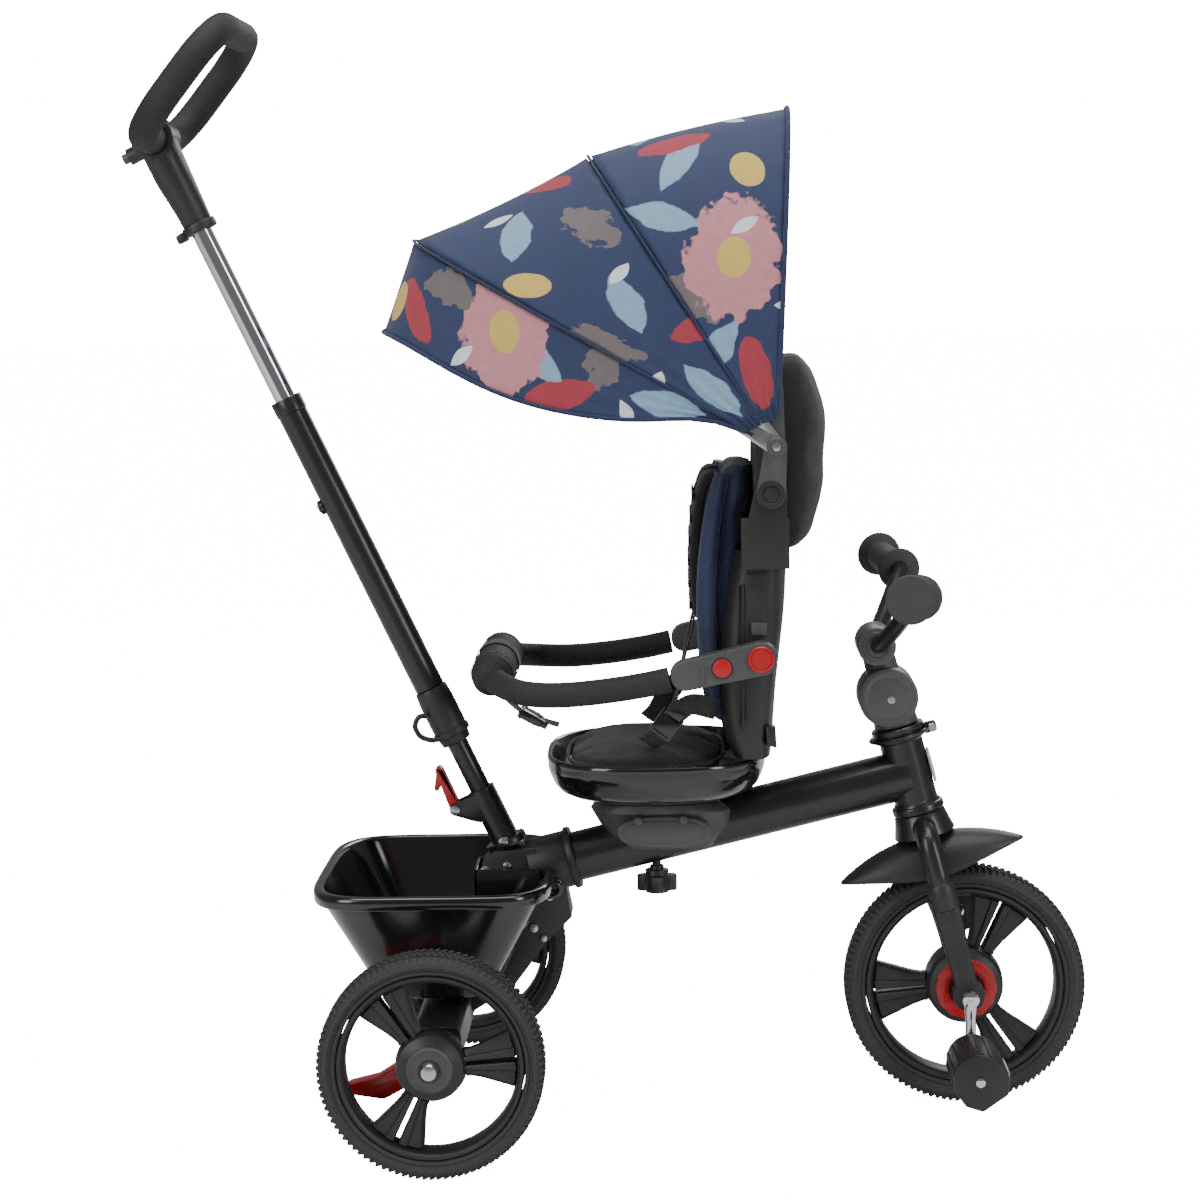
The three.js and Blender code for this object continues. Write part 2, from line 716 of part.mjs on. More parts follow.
// ---- Basket -------------------------------------------------------------------------------------
const basketX = -wheelbase - 7.5;
const basketBottom = beamTop + 10;
const notchHalf = 27;
function basket() {
  const half = basketLength / 2;
  const wide = basketWidth / 2;
  const top = basketBottom + basketDepth;
  const w = basketWall;
  const shell = loft([
    oblong(basketX, basketBottom, half - 58, wide - 46, 5),
    oblong(basketX, top - 14, half - 8, wide - 8, 5),
    oblong(basketX, top - 11, half, wide, 5),
    oblong(basketX, top - 2, half, wide, 5),
    oblong(basketX, top, half - 3, wide - 3, 5),
    oblong(basketX, top, half - 9, wide - 9, 5),
    oblong(basketX, top - 5, half - 7 - w, wide - 7 - w, 5),
    oblong(basketX, basketBottom + w, half - 58 - w, wide - 46 - w, 5),
  ]);
  const notchBack = tubeRear.x - 58;
  const front = basketX + half + 5;
  const pocket = boxBetween(notchBack - w, front - 12, -notchHalf - w, notchHalf + w, basketBottom, top);
  const recess = boxBetween(notchBack, front + 40, -notchHalf, notchHalf, basketBottom - 20, top + 20);
  const slack = loft([
    oblong(basketX, basketBottom - 1, half - 58, wide - 46, 5),
    oblong(basketX, top - 14, half - 8, wide - 8, 5),
    oblong(basketX, top + 5, half - 2, wide - 2, 5),
  ]);
  const pocketInside = fromSolid(toSolid(pocket).intersect(toSolid(slack)));
  return cut(join(shell, pocketInside), recess);
}
add(tricycle, 'basket', basket(), glossBlack());

// ---- Seat base, its knob, and the swivelling seat ------------------------------------------------
// The seat is high enough for its pan to stay clear of the rising tube as it swings round.
const panClearance = tubeSlope * 73 + mainTubeRadius * Math.hypot(1, tubeSlope) - 5.1;
const seatZ = knobPlace.z + Math.max(37.5, panClearance);
function seatBase() {
  const body = loft([
    oblong(seatX + 10, seatZ - 44, 46, 30, 2.6),
    oblong(seatX + 12, seatZ - 22, 66, 38, 2.6),
    oblong(seatX + 6, seatZ - 8, 68, 46, 2.6),
    oblong(seatX + 2, seatZ, 58, 46, 2.4),
  ]);
  const tubeSpace = rod(
    tubeRear.clone().addScaledVector(tubeDirection, -50),
    tubeFront,
    mainTubeRadius + gap,
    16,
  );
  const under = boxBetween(seatX - 150, seatX + 150, -24, 24, seatZ - 120, seatZ - 47);
  return cut(body, tubeSpace, boltSpace, under);
}
add(tricycle, 'seat_base', seatBase(), greyPlastic());

function knob() {
  const top = mainTubeRadius + 4;
  const lobes = [];
  for (let i = 0; i < 4; i += 1) {
    const angle = (Math.PI / 2) * i;
    lobes.push(drumZ(7, -top - 24, -top - 9, 12 * Math.cos(angle), 12 * Math.sin(angle), 8));
  }
  const hub = drumZ(11, -top - 26, -top - 4);
  const shoulder = drumZ(6.5, -top - 5, -top);
  const bolt = drumZ(knobBoltRadius, -top - 5, 34, 0, 0, 12);
  return join(hub, shoulder, bolt, ...lobes);
}
const knobMesh = add(tricycle, 'seat_knob', knob(), plastic());
knobMesh.position.copy(knobPlace);

const seat = new THREE.Group();
seat.position.set(seatX, 0, seatZ);
tricycle.add(seat);
const panX = 1.5;                     // the pan sits a little behind the swivel's middle
const swivelThickness = 5;
const panBottom = swivelThickness + 2 * gap;

add(seat, 'swivel_plate', drumZ(40, gap, swivelThickness + gap), steel());

const panHeight = 44;
const panFloor = panBottom + 17;
function seatPan() {
  const half = seatLength / 2;
  const wide = seatWidth / 2;
  const rimTop = panBottom + panHeight;
  return loft([
    oblong(panX, panBottom, half - 38, wide - 52, 2.6),
    oblong(panX, panBottom + 10, half - 11, wide - 20, 2.7),
    oblong(panX, panBottom + 28, half - 1, wide - 4, 2.8),
    oblong(panX, rimTop - 3, half, wide, 2.8),
    oblong(panX, rimTop, half - 2, wide - 2, 2.8),
    oblong(panX, rimTop - 2, half - 5, wide - 5, 2.8),
    oblong(panX, panBottom + 28, half - 7, wide - 10, 2.8),
    oblong(panX, panFloor, half - 16, wide - 24, 2.7),
  ]);
}
add(seat, 'seat_pan', seatPan(), glossBlack());

const backFrontX = 64;               // the backrest's front edge, from the swivel's middle
function seatPad() {
  const rear = backFrontX - 3;
  const front = panX - seatLength / 2 + 12;
  const half = (rear - front) / 2;
  const middle = (rear + front) / 2;
  const wide = seatWidth / 2;
  return loft([
    oblong(middle + 4, panFloor + gap, half - 18, wide - 34, 3),
    oblong(middle, panBottom + 33, half - 2, wide - 18, 3),
    oblong(middle, panBottom + 48, half, wide - 14, 3),
    oblong(middle, panBottom + 57, half - 6, wide - 20, 3),
    oblong(middle, panBottom + 61, half - 24, wide - 44, 3),
  ]);
}
add(seat, 'seat_pad', seatPad(), blackCloth());

// ---- Backrest: a moulded shell below, a padded liner in front and a soft hood behind -------------
const backHalf = backWidth / 2;
const backBottom = panBottom + panHeight + 3;
const shellTop = backBottom + backShellHeight;
const back = new THREE.Group();
seat.add(back);

// One level ring of the backrest, between its front and rear faces.
function backRing(z, front, rear, halfWidth, inset = 0) {
  const half = (rear - front) / 2 - inset;
  return oblong((front + rear) / 2, z, half, halfWidth - inset, 4);
}
const barPivot = { x: 98, z: 150 };
function backShell() {
  const levels = [
    [0, backFrontX + 8, 108, -12],
    [0.1, backFrontX, 110, -5],
    [0.35, backFrontX - 6, 114, 0],
    [0.7, backFrontX - 2, 122, 0],
    [1, backFrontX + 10, 125, 0],
  ];
  const rings = (inset, stretch) => levels.map(([share, front, rear, wide]) => {
    const z = backBottom + share * backShellHeight;
    return backRing(z, front - stretch, rear, backHalf + wide, inset);
  });
  const inner = loft([
    ...rings(backWall, 40).slice(1),
    backRing(shellTop + 20, backFrontX - 30, 126, backHalf, backWall),
  ]);
  const pins = sides.map(([, sign]) => {
    const from = sign * (backHalf - 3);
    return drumY(12, from, sign * (backHalf + 8.7), barPivot.x, barPivot.z);
  });
  return join(cut(loft(rings(0, 0)), inner), ...pins);
}
add(back, 'backrest_shell', backShell(), plastic());

const hoodTop = backBottom + 368;
function backHood() {
  const levels = [
    [shellTop + gap, 100, 132, 0],
    [shellTop + 25, 98, 150, 0],
    [shellTop + 60, 96, 158, 0],
    [shellTop + 130, 98, 160, -6],
    [shellTop + 158, 108, 150, -22],
    [hoodTop, 124, 142, -56],
  ];
  const outer = loft(levels.map(([z, front, rear, wide]) => backRing(z, front, rear, backHalf + wide)));
  const hollow = loft([
    backRing(shellTop - 20, 20, 126, backHalf - 5),
    backRing(shellTop + 25, 20, 144, backHalf - 5),
    backRing(shellTop + 60, 20, 152, backHalf - 5),
    backRing(shellTop + 130, 20, 154, backHalf - 12),
    backRing(shellTop + 158, 20, 143, backHalf - 28),
  ]);
  return cut(outer, hollow);
}
add(back, 'back_hood', backHood(), blackCloth());

function liner() {
  const front = backFrontX - 14;
  const rear = backFrontX + 18;
  const wide = backHalf - 17;
  const rows = [
    [backBottom + 26, 8, -16],
    [backBottom + 38, 0, -3],
    [backBottom + 120, -2, 0],
    [backBottom + 200, 4, -2],
    [backBottom + 256, 11, -8],
    [backBottom + 273, 20, -30],
  ];
  return loft(rows.map(([z, x, w]) => backRing(z, front + x, rear + x, wide + w)));
}
add(back, 'seat_liner', liner(), navyCloth());

// ---- Side blocks that carry the canopy, and the safety bar ----------------------------------------
const blockOuter = backHalf + 8.7;
const canopyPivot = { x: 109, z: 296 };
const boltPivot = { x: 114, z: 339 };
for (const [side, sign] of sides) {
  const from = sign * (backHalf + gap);
  const block = boxBetween(82, 125, from, sign * blockOuter, backBottom + 176, backBottom + 222);
  const boss = drumY(15, from, sign * blockOuter, canopyPivot.x, canopyPivot.z);
  const reach = linkShape(canopyPivot.x, canopyPivot.z, 15, 104, backBottom + 208, 18);
  const neck = plate(reach, from, sign * blockOuter);
  add(back, `canopy_block_${side}`, join(block, boss, neck), plastic());
}

const bar = new THREE.Group();
bar.position.set(barPivot.x, 0, barPivot.z);
back.add(bar);
const bracketInner = backHalf + 9;
const bracketOuter = bracketInner + 20;
const armY = bracketInner + 10;
const bracketDrop = 0.21;             // the brackets run down towards the bumper
const bracketReach = 68;
const buttonReach = 35;
const buttonRadius = 8.5;
const buttonTravel = 3;

function barBracket(sign) {
  const shape = linkShape(0, 0, 15, -bracketReach, -bracketReach * bracketDrop, 13.5);
  const body = plate(shape, sign * bracketInner, sign * bracketOuter);
  const well = drumY(
    buttonRadius + runningGap,
    sign * (bracketOuter - 10),
    sign * (bracketOuter + 5),
    -buttonReach,
    -buttonReach * bracketDrop,
  );
  return cut(body, well);
}
for (const [side, sign] of sides) {
  add(bar, `bar_bracket_${side}`, barBracket(sign), greyPlastic());
  const from = sign * (bracketOuter - 10 + buttonTravel + 0.7);
  const to = sign * (bracketOuter + 3.5);
  const button = drumY(buttonRadius, from, to, -buttonReach, -buttonReach * bracketDrop);
  add(bar, `bar_button_${side}`, button, red());
}

const bumperZ = -19;
function safetyBar() {
  const bumperHalf = armY - 60;         // kept short, so that the seat can swing the bar round
  const arms = sides.map(([, sign]) => bentTube([
    point(-82, sign * armY, -18.4),
    point(-109, sign * armY, -23.6),
    point(-145, sign * armY, -28.5),
    point(-armReach + 64, sign * armY, -31),
    point(-armReach + 32, sign * (armY - 4), -29.5),
    point(-armReach + 10, sign * (armY - 27), -25),
    point(-armReach, sign * (armY - 51), -20),
    point(-armReach, sign * (bumperHalf - 4), bumperZ),
  ], armTubeRadius, 12, 8));
  const ends = sides.map(([, sign]) => {
    const end = new THREE.SphereGeometry(bumperRadius, 12, 8);
    return end.translate(-armReach, sign * bumperHalf, bumperZ);
  });
  const bumper = drumY(bumperRadius, -bumperHalf, bumperHalf, -armReach, bumperZ, 12);
  return join(bumper, ...arms, ...ends);
}
add(bar, 'safety_bar', safetyBar(), foam());

function crotchStrap() {
  const x = -armReach;
  const z = bumperZ - bumperRadius;
  const strip = outlineOf([[x - 2, z - 1], [x + 5, z - 1], [x + 62, z - 41], [x + 58, z - 45]]);
  return plate(strip, -14, 14);
}
add(bar, 'crotch_strap', crotchStrap(), blackCloth());

// ---- Canopy: three bows that fan out from one bolt on each side --------------------------------------
const canopyHalf = canopyWidth / 2;
const armInner = blockOuter + gap;
const canopy = new THREE.Group();
canopy.position.set(boltPivot.x, 0, boltPivot.z);
back.add(canopy);

// Each bow: its angle up from straight ahead, and its reach from the bolt at the crown. The peak's
// hem droops between the crown and the sides, and lifts again close to the bolts.
const bows = {
  rear: { angle: 86.8, reach: 303.5 },
  middle: { angle: 122.3, reach: 311 },
  front: { angle: 150.1, reach: 379 },
  peak: { angle: 163.5, reach: 374, droop: 43, lift: 12 },
};

// A point on a bow: t runs from one side's bolt over the crown to the other side's.
function onBow(bow, t, inset, halfWidth) {
  const c = Math.cos(t);
  const across = -Math.sign(c) * Math.abs(c) ** (2 / 3) * halfWidth;
  const out = Math.abs(Math.sin(t)) ** (2 / 3) * (bow.reach - inset);
  const { angle, droop = 0, lift = 0 } = bow;
  const s = Math.abs(Math.sin(t));
  const turn = angle + droop * s * (1 - s) ** 2 - lift * Math.exp(-((s / 0.12) ** 2));
  const heading = THREE.MathUtils.degToRad(turn);
  return point(out * Math.cos(heading), across, out * Math.sin(heading));
}

const bladeReach = 52;
function bowTube(bow, halfWidth) {
  const start = Math.asin((45 / bow.reach) ** 1.5);
  const points = [];
  for (let i = 0; i <= 16; i += 1) {
    points.push(onBow(bow, start + ((Math.PI - 2 * start) * i) / 16, 6, halfWidth));
  }
  return bentTube(points, bowRadius, 16, 6);
}

// A flat strip from the bolt out to where the bow's round wire begins.
function bowBlade(bow, sign, inner, thickness) {
  const angle = THREE.MathUtils.degToRad(bow.angle);
  const x = bladeReach * Math.cos(angle);
  const z = bladeReach * Math.sin(angle);
  return plate(linkShape(0, 0, 8, x, z, 4), sign * inner, sign * (inner + thickness));
}

function bowWith(bow, inner, thickness, halfWidth) {
  const blades = sides.map(([, sign]) => bowBlade(bow, sign, inner, thickness));
  return join(bowTube(bow, halfWidth), ...blades);
}

const armThickness = 5;
const bladeThickness = 2.6;
const rearBlade = armInner + armThickness - 0.5;
const middleBlade = rearBlade + bladeThickness + 0.5;
const frontBlade = middleBlade + bladeThickness + 0.5;

function canopyFrame() {
  const dx = canopyPivot.x - boltPivot.x;
  const dz = canopyPivot.z - boltPivot.z;
  const arms = sides.map(([, sign]) => {
    const shape = linkShape(dx, dz, 13, 0, 0, 10);
    return plate(shape, sign * armInner, sign * (armInner + armThickness));
  });
  return join(bowWith(bows.rear, rearBlade, bladeThickness, rearBlade + 3), ...arms);
}
add(canopy, 'canopy_frame', canopyFrame(), greyPlastic());
add(canopy, 'middle_bow', bowWith(bows.middle, middleBlade, bladeThickness, middleBlade + 2), steel());
add(canopy, 'front_bow', bowWith(bows.front, frontBlade, bladeThickness, frontBlade + 0.2), steel());

const clothSteps = 14;
// Cloth stretched between two bows, swelling out or sagging in by a share of its reach.
function panel(bowA, bowB, from, to, swell) {
  const outer = [];
  const inner = [];
  const startA = Math.asin((24 / bowA.reach) ** 1.5);
  for (let r = 0; r <= 3; r += 1) {
    const share = from + ((to - from) * r) / 3;
    const rowOut = [];
    const rowIn = [];
    for (let i = 0; i <= clothSteps; i += 1) {
      const t = startA + ((Math.PI - 2 * startA) * i) / clothSteps;
      for (const [row, shrink] of [[rowOut, 0], [rowIn, clothThickness]]) {
        const a = onBow(bowA, t, shrink, canopyHalf - shrink);
        const b = onBow(bowB, t, shrink, canopyHalf - shrink);
        const fill = 1 + swell * 4 * share * (1 - share);
        row.push(a.lerp(b, share).multiply(point(fill, 1, fill)));
      }
    }
    outer.push(rowOut);
    inner.push(rowIn);
  }
  return sheetBody(outer, inner);
}
add(canopy, 'canopy_rear_cloth', panel(bows.rear, bows.middle, 0, 0.985, 0.013), navyCloth());
add(canopy, 'canopy_middle_cloth', panel(bows.middle, bows.front, 0.015, 0.985, -0.012), navyCloth());
add(canopy, 'canopy_peak_cloth', panel(bows.front, bows.peak, 0.03, 1, 0), navyCloth());

// ---- Push pole ------------------------------------------------------------------------------------
const collarBottom = 116;
const collarTop = collarBottom + 57;
const sleeveBottom = collarTop + gap;
const sleeveTop = sleeveBottom + sleeveLength;
const poleTop = collarTop - 12;
add(pole, 'pole_foot', drumZ(poleRadius, 18, poleTop), satinBlack());

function collar() {
  const profile = [
    [0, collarBottom],
    [sleeveRadius, collarBottom],
    [sleeveRadius + 2, collarBottom + 12],
    [sleeveRadius + 2.6, collarTop - 12],
    [sleeveRadius + 1.4, collarTop],
    [0, collarTop],
  ].map(([r, z]) => new THREE.Vector2(r, z));
  const body = new THREE.LatheGeometry(profile, roundSides).rotateX(Math.PI / 2);
  return cut(body, drumZ(poleRadius + gap, 0, poleTop + gap));
}
add(pole, 'pole_collar', collar(), plastic());

const snapHeight = 371;
const snapTravel = 1.5;
function sleeve() {
  const tube = drumZ(sleeveRadius, sleeveBottom, sleeveTop);
  const boss = drumX(7, -sleeveRadius - 3.4, -sleeveRadius + 1, 0, snapHeight);
  const inside = drumZ(chromeRadius + 0.5, sleeveBottom - 5, sleeveTop + 5);
  const well = drumX(4.4, -sleeveRadius - 10, -sleeveRadius + 1.2, 0, snapHeight);
  return cut(join(tube, boss), inside, well);
}
add(pole, 'pole_sleeve', sleeve(), satinBlack());
const snapInner = -sleeveRadius + 1.2 - snapTravel - gap;
const snapButton = drumX(4, snapInner - 4.4, snapInner, 0, snapHeight);
add(pole, 'snap_button', snapButton, steel());

const chromeTop = sleeveTop + chromeShown;
const chromeBottom = chromeTop - chromeLength;
add(pole, 'chrome_tube', drumZ(chromeRadius, chromeBottom, chromeTop), chrome());

const handleHub = chromeTop + 62;
const hubHalf = 22;
const hubOuter = loopFoamRadius + 6;
const lockTravel = 4;
function handleBracket() {
  const socketPart = loft([
    oblong(0, chromeTop - 28, 14, 14, 2, 16),
    oblong(0, chromeTop - 8, 15, 16, 2, 16),
    oblong(-1, chromeTop + 24, 17, 22, 2.4, 16),
    oblong(0, handleHub, 18, hubHalf, 2.6, 16),
  ]);
  const hub = drumY(hubOuter, -hubHalf, hubHalf, 0, handleHub, 16);
  const boss = drumX(8, -hubOuter - 10, 0, 0, handleHub - 4);
  const tubeHole = drumZ(chromeRadius + gap, 0, chromeTop + gap);
  const loopHole = drumY(loopFoamRadius + 0.6, -60, 60, 0, handleHub, 16);
  const well = drumX(5.4, -hubOuter - 15, -hubOuter + 1.5, 0, handleHub - 4);
  return cut(join(socketPart, hub, boss), tubeHole, loopHole, well);
}
add(pole, 'handle_bracket', handleBracket(), plastic());
const lockInner = -hubOuter + 1.2 - lockTravel;
add(pole, 'handle_button', drumX(5, lockInner - 13, lockInner, 0, handleHub - 4), plastic());

// The foam loop stands on its own cross tube, which turns in the bracket.
const loopLean = 38.5 + poleTilt;
function handleLoop() {
  const half = loopWidth / 2;
  const corner = 44;
  const outline = new THREE.CurvePath();
  const at = (y, z) => point(0, y, z);
  const runs = [
    [at(-half + corner, 0), at(half - corner, 0), at(half, 0)],
    [at(half, corner), at(half, loopLength - corner), at(half, loopLength)],
    [at(half - corner, loopLength), at(-half + corner, loopLength), at(-half, loopLength)],
    [at(-half, loopLength - corner), at(-half, corner), at(-half, 0)],
  ];
  runs.forEach(([start, end, bend], i) => {
    const next = runs[(i + 1) % runs.length][0];
    outline.add(new THREE.LineCurve3(start, end));
    outline.add(new THREE.QuadraticBezierCurve3(end, bend, next));
  });
  const geometry = new THREE.TubeGeometry(outline, 32, loopFoamRadius, 8, true);
  return geometry.rotateY(THREE.MathUtils.degToRad(loopLean));
}
add(pole, 'handle_loop', handleLoop(), foam()).position.z = handleHub;

export default tricycle;
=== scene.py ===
import math

import bmesh
import bpy
from mathutils import Matrix, Vector


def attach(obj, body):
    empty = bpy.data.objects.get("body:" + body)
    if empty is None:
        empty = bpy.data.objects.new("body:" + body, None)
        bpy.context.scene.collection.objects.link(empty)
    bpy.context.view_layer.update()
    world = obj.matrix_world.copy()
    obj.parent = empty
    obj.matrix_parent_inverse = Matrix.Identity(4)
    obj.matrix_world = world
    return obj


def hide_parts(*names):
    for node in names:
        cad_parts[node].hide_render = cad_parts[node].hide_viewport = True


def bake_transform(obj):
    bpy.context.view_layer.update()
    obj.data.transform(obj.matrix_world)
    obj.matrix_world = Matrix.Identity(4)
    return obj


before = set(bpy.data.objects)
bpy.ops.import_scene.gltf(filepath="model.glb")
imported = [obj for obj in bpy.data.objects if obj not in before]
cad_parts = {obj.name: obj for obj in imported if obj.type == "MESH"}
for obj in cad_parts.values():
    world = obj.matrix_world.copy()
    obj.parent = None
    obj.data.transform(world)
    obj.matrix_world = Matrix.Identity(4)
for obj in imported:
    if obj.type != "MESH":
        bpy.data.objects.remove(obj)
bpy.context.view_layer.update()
scene = bpy.context.scene
MM = 0.001

# ---- Viewpoint -------------------------------------------------------------------------------
# A long lens from the tricycle's right, a little above the wheels, level with the seat. It is
# turned slightly to the rear and tipped by about a degree.
azimuth, elevation, tip = math.radians(1.75), math.radians(6.71), math.radians(-1.11)
level = Vector((math.cos(azimuth), math.sin(azimuth), 0))
ahead = Vector((
    -math.sin(azimuth) * math.cos(elevation),
    math.cos(azimuth) * math.cos(elevation),
    -math.sin(elevation),
))
upward = level.cross(ahead)
right = level * math.cos(tip) + upward * math.sin(tip)
top = upward * math.cos(tip) - level * math.sin(tip)
turn = Matrix((right, top, -ahead)).transposed()
lens = bpy.data.cameras.new("long_lens")
lens.lens = 85.13
lens.sensor_width = 36
lens.clip_end = 50
camera = bpy.data.objects.new("camera", lens)
camera.matrix_world = Matrix.Translation((-0.2582, -2.6496, 0.7970)) @ turn.to_4x4()
scene.collection.objects.link(camera)
scene.camera = camera

# ---- Studio: white paper floor, white room and four softboxes -----------------------------------
# The paper and the room glow brightly where the camera sees them directly and light the tricycle
# only dimly. The softboxes draw the soft streaks along the tubes and the mouldings' bright edges.
paper_glow, room_seen, room_light = 16.0, 18.0, 0.2
paper = bpy.data.materials.new("white paper")
paper.use_nodes = True
paper_shader = paper.node_tree.nodes["Principled BSDF"]
paper_shader.inputs["Base Color"].default_value = (0.86, 0.86, 0.86, 1)
paper_shader.inputs["Roughness"].default_value = 0.9
paper_shader.inputs["Emission Color"].default_value = (1, 1, 1, 1)
lit = paper.node_tree.nodes.new("ShaderNodeLightPath")
glow = paper.node_tree.nodes.new("ShaderNodeMath")
glow.operation = "MULTIPLY"
glow.inputs[1].default_value = paper_glow
paper.node_tree.links.new(lit.outputs["Is Camera Ray"], glow.inputs[0])
paper.node_tree.links.new(glow.outputs["Value"], paper_shader.inputs["Emission Strength"])
bm = bmesh.new()
bmesh.ops.create_grid(bm, x_segments=1, y_segments=1, size=30)
floor_mesh = bpy.data.meshes.new("paper_floor")
bm.to_mesh(floor_mesh)
bm.free()
floor_mesh.materials.append(paper)
floor = bpy.data.objects.new("paper_floor", floor_mesh)
scene.collection.objects.link(floor)

room = bpy.data.worlds.new("white room")
room.use_nodes = True
tree = room.node_tree
dim, bright = tree.nodes["Background"], tree.nodes.new("ShaderNodeBackground")
dim.inputs["Color"].default_value = bright.inputs["Color"].default_value = (1, 1, 1, 1)
dim.inputs["Strength"].default_value = room_light
bright.inputs["Strength"].default_value = room_seen
rays, choice = tree.nodes.new("ShaderNodeLightPath"), tree.nodes.new("ShaderNodeMixShader")
tree.links.new(rays.outputs["Is Camera Ray"], choice.inputs["Fac"])
tree.links.new(dim.outputs["Background"], choice.inputs[1])
tree.links.new(bright.outputs["Background"], choice.inputs[2])
tree.links.new(choice.outputs["Shader"], tree.nodes["World Output"].inputs["Surface"])
scene.world = room


def softbox(name, place, aim, width, height, power):
    light = bpy.data.lights.new(name, "AREA")
    light.shape = "RECTANGLE"
    light.size = width
    light.size_y = height
    light.energy = power
    lamp = bpy.data.objects.new(name, light)
    lamp.location = place
    lamp.rotation_euler = (Vector(aim) - Vector(place)).to_track_quat("-Z", "Y").to_euler()
    scene.collection.objects.link(lamp)


softbox("overhead", (-0.3, -0.4, 3.2), (-0.3, 0, 0.4), 2.6, 2.0, 78)
softbox("near_left", (-2.4, -2.2, 1.7), (-0.3, 0, 0.5), 1.2, 2.2, 46)
softbox("near_right", (2.2, -2.0, 1.5), (-0.2, 0, 0.4), 0.9, 2.0, 36)
softbox("far_side", (0.6, 2.8, 2.0), (-0.3, 0, 0.5), 1.8, 1.6, 34)

# ---- Wheels -------------------------------------------------------------------------------------
# Each wheel is a black moulded rim with three slotted fan spokes and a foam-rubber tyre pressed
# over it. The tread is three rows of small moulded lugs, and the hub's face is a domed boss.


def noise_of(tree, vector, scale, detail=2.0):
    cloud = tree.nodes.new("ShaderNodeTexNoise")
    cloud.inputs["Scale"].default_value = scale
    cloud.inputs["Detail"].default_value = detail
    tree.links.new(vector, cloud.inputs["Vector"])
    return cloud.outputs["Fac"]


def new_group(label, inputs, outputs):
    group = bpy.data.node_groups.new(label, "ShaderNodeTree")
    kinds = {"v": "NodeSocketVector", "f": "NodeSocketFloat", "c": "NodeSocketColor"}
    for kind, name in inputs:
        group.interface.new_socket(name=name, in_out="INPUT", socket_type=kinds[kind])
    for kind, name in outputs:
        group.interface.new_socket(name=name, in_out="OUTPUT", socket_type=kinds[kind])
    return group, group.nodes.new("NodeGroupInput"), group.nodes.new("NodeGroupOutput")


def calc(tree, operation, *values):
    step = tree.nodes.new("ShaderNodeMath")
    step.operation = operation
    for socket, value in zip(step.inputs, values):
        if isinstance(value, (int, float)):
            socket.default_value = value
        else:
            tree.links.new(value, socket)
    return step.outputs["Value"]


def blend_colors(tree, factor, under, over):
    mix = tree.nodes.new("ShaderNodeMix")
    mix.data_type = "RGBA"
    for socket, value in ((mix.inputs["Factor"], factor), (mix.inputs["A"], under), (mix.inputs["B"], over)):
        if isinstance(value, tuple):
            socket.default_value = (*value, 1)
        else:
            tree.links.new(value, socket)
    return mix.outputs["Result"]


# Moulding or paint grain: fine pits, and broad patches that shift colour and gloss a little.
grain_group, given, made = new_group(
    "surface grain",
    [("v", "Vector"), ("c", "Color"), ("c", "Patch color"), ("f", "Grain scale"),
     ("f", "Patch scale"), ("f", "Roughness"), ("f", "Spread")],
    [("c", "Color"), ("f", "Roughness"), ("f", "Height")],
)
fine = grain_group.nodes.new("ShaderNodeTexNoise")
fine.inputs["Detail"].default_value = 3
broad = grain_group.nodes.new("ShaderNodeTexNoise")
broad.inputs["Detail"].default_value = 4
broad.inputs["Roughness"].default_value = 0.6
link = grain_group.links.new
link(given.outputs["Vector"], fine.inputs["Vector"])
link(given.outputs["Vector"], broad.inputs["Vector"])
link(given.outputs["Grain scale"], fine.inputs["Scale"])
link(given.outputs["Patch scale"], broad.inputs["Scale"])
patch = broad.outputs["Fac"]
link(blend_colors(grain_group, patch, given.outputs["Color"], given.outputs["Patch color"]),
     made.inputs["Color"])
swing = calc(grain_group, "MULTIPLY", calc(grain_group, "SUBTRACT", patch, 0.5), given.outputs["Spread"])
link(calc(grain_group, "ADD", given.outputs["Roughness"], swing), made.inputs["Roughness"])
link(fine.outputs["Fac"], made.inputs["Height"])


def bare_finish(label, metallic=0.0):
    look = bpy.data.materials.new(label)
    look.use_nodes = True
    shader = look.node_tree.nodes["Principled BSDF"]
    shader.inputs["Metallic"].default_value = metallic
    place = look.node_tree.nodes.new("ShaderNodeTexCoord")
    return look, look.node_tree, shader, place.outputs["Object"]


def bump(tree, shader, height, depth, strength=1.0):
    relief = tree.nodes.new("ShaderNodeBump")
    relief.inputs["Distance"].default_value = depth
    relief.inputs["Strength"].default_value = strength
    tree.links.new(height, relief.inputs["Height"])
    tree.links.new(relief.outputs["Normal"], shader.inputs["Normal"])


def finish(label, color, patch_color, roughness, spread=0.12, grain=1500, depth=0.00008,
           patches=16, metallic=0.0, coat=0.0):
    look, tree, shader, where = bare_finish(label, metallic)
    grain_node = tree.nodes.new("ShaderNodeGroup")
    grain_node.node_tree = grain_group
    tree.links.new(where, grain_node.inputs["Vector"])
    grain_node.inputs["Color"].default_value = (*color, 1)
    grain_node.inputs["Patch color"].default_value = (*patch_color, 1)
    grain_node.inputs["Grain scale"].default_value = grain
    grain_node.inputs["Patch scale"].default_value = patches
    grain_node.inputs["Roughness"].default_value = roughness
    grain_node.inputs["Spread"].default_value = spread
    tree.links.new(grain_node.outputs["Color"], shader.inputs["Base Color"])
    tree.links.new(grain_node.outputs["Roughness"], shader.inputs["Roughness"])
    bump(tree, shader, grain_node.outputs["Height"], depth)
    shader.inputs["Coat Weight"].default_value = coat
    shader.inputs["Coat Roughness"].default_value = 0.12
    return look


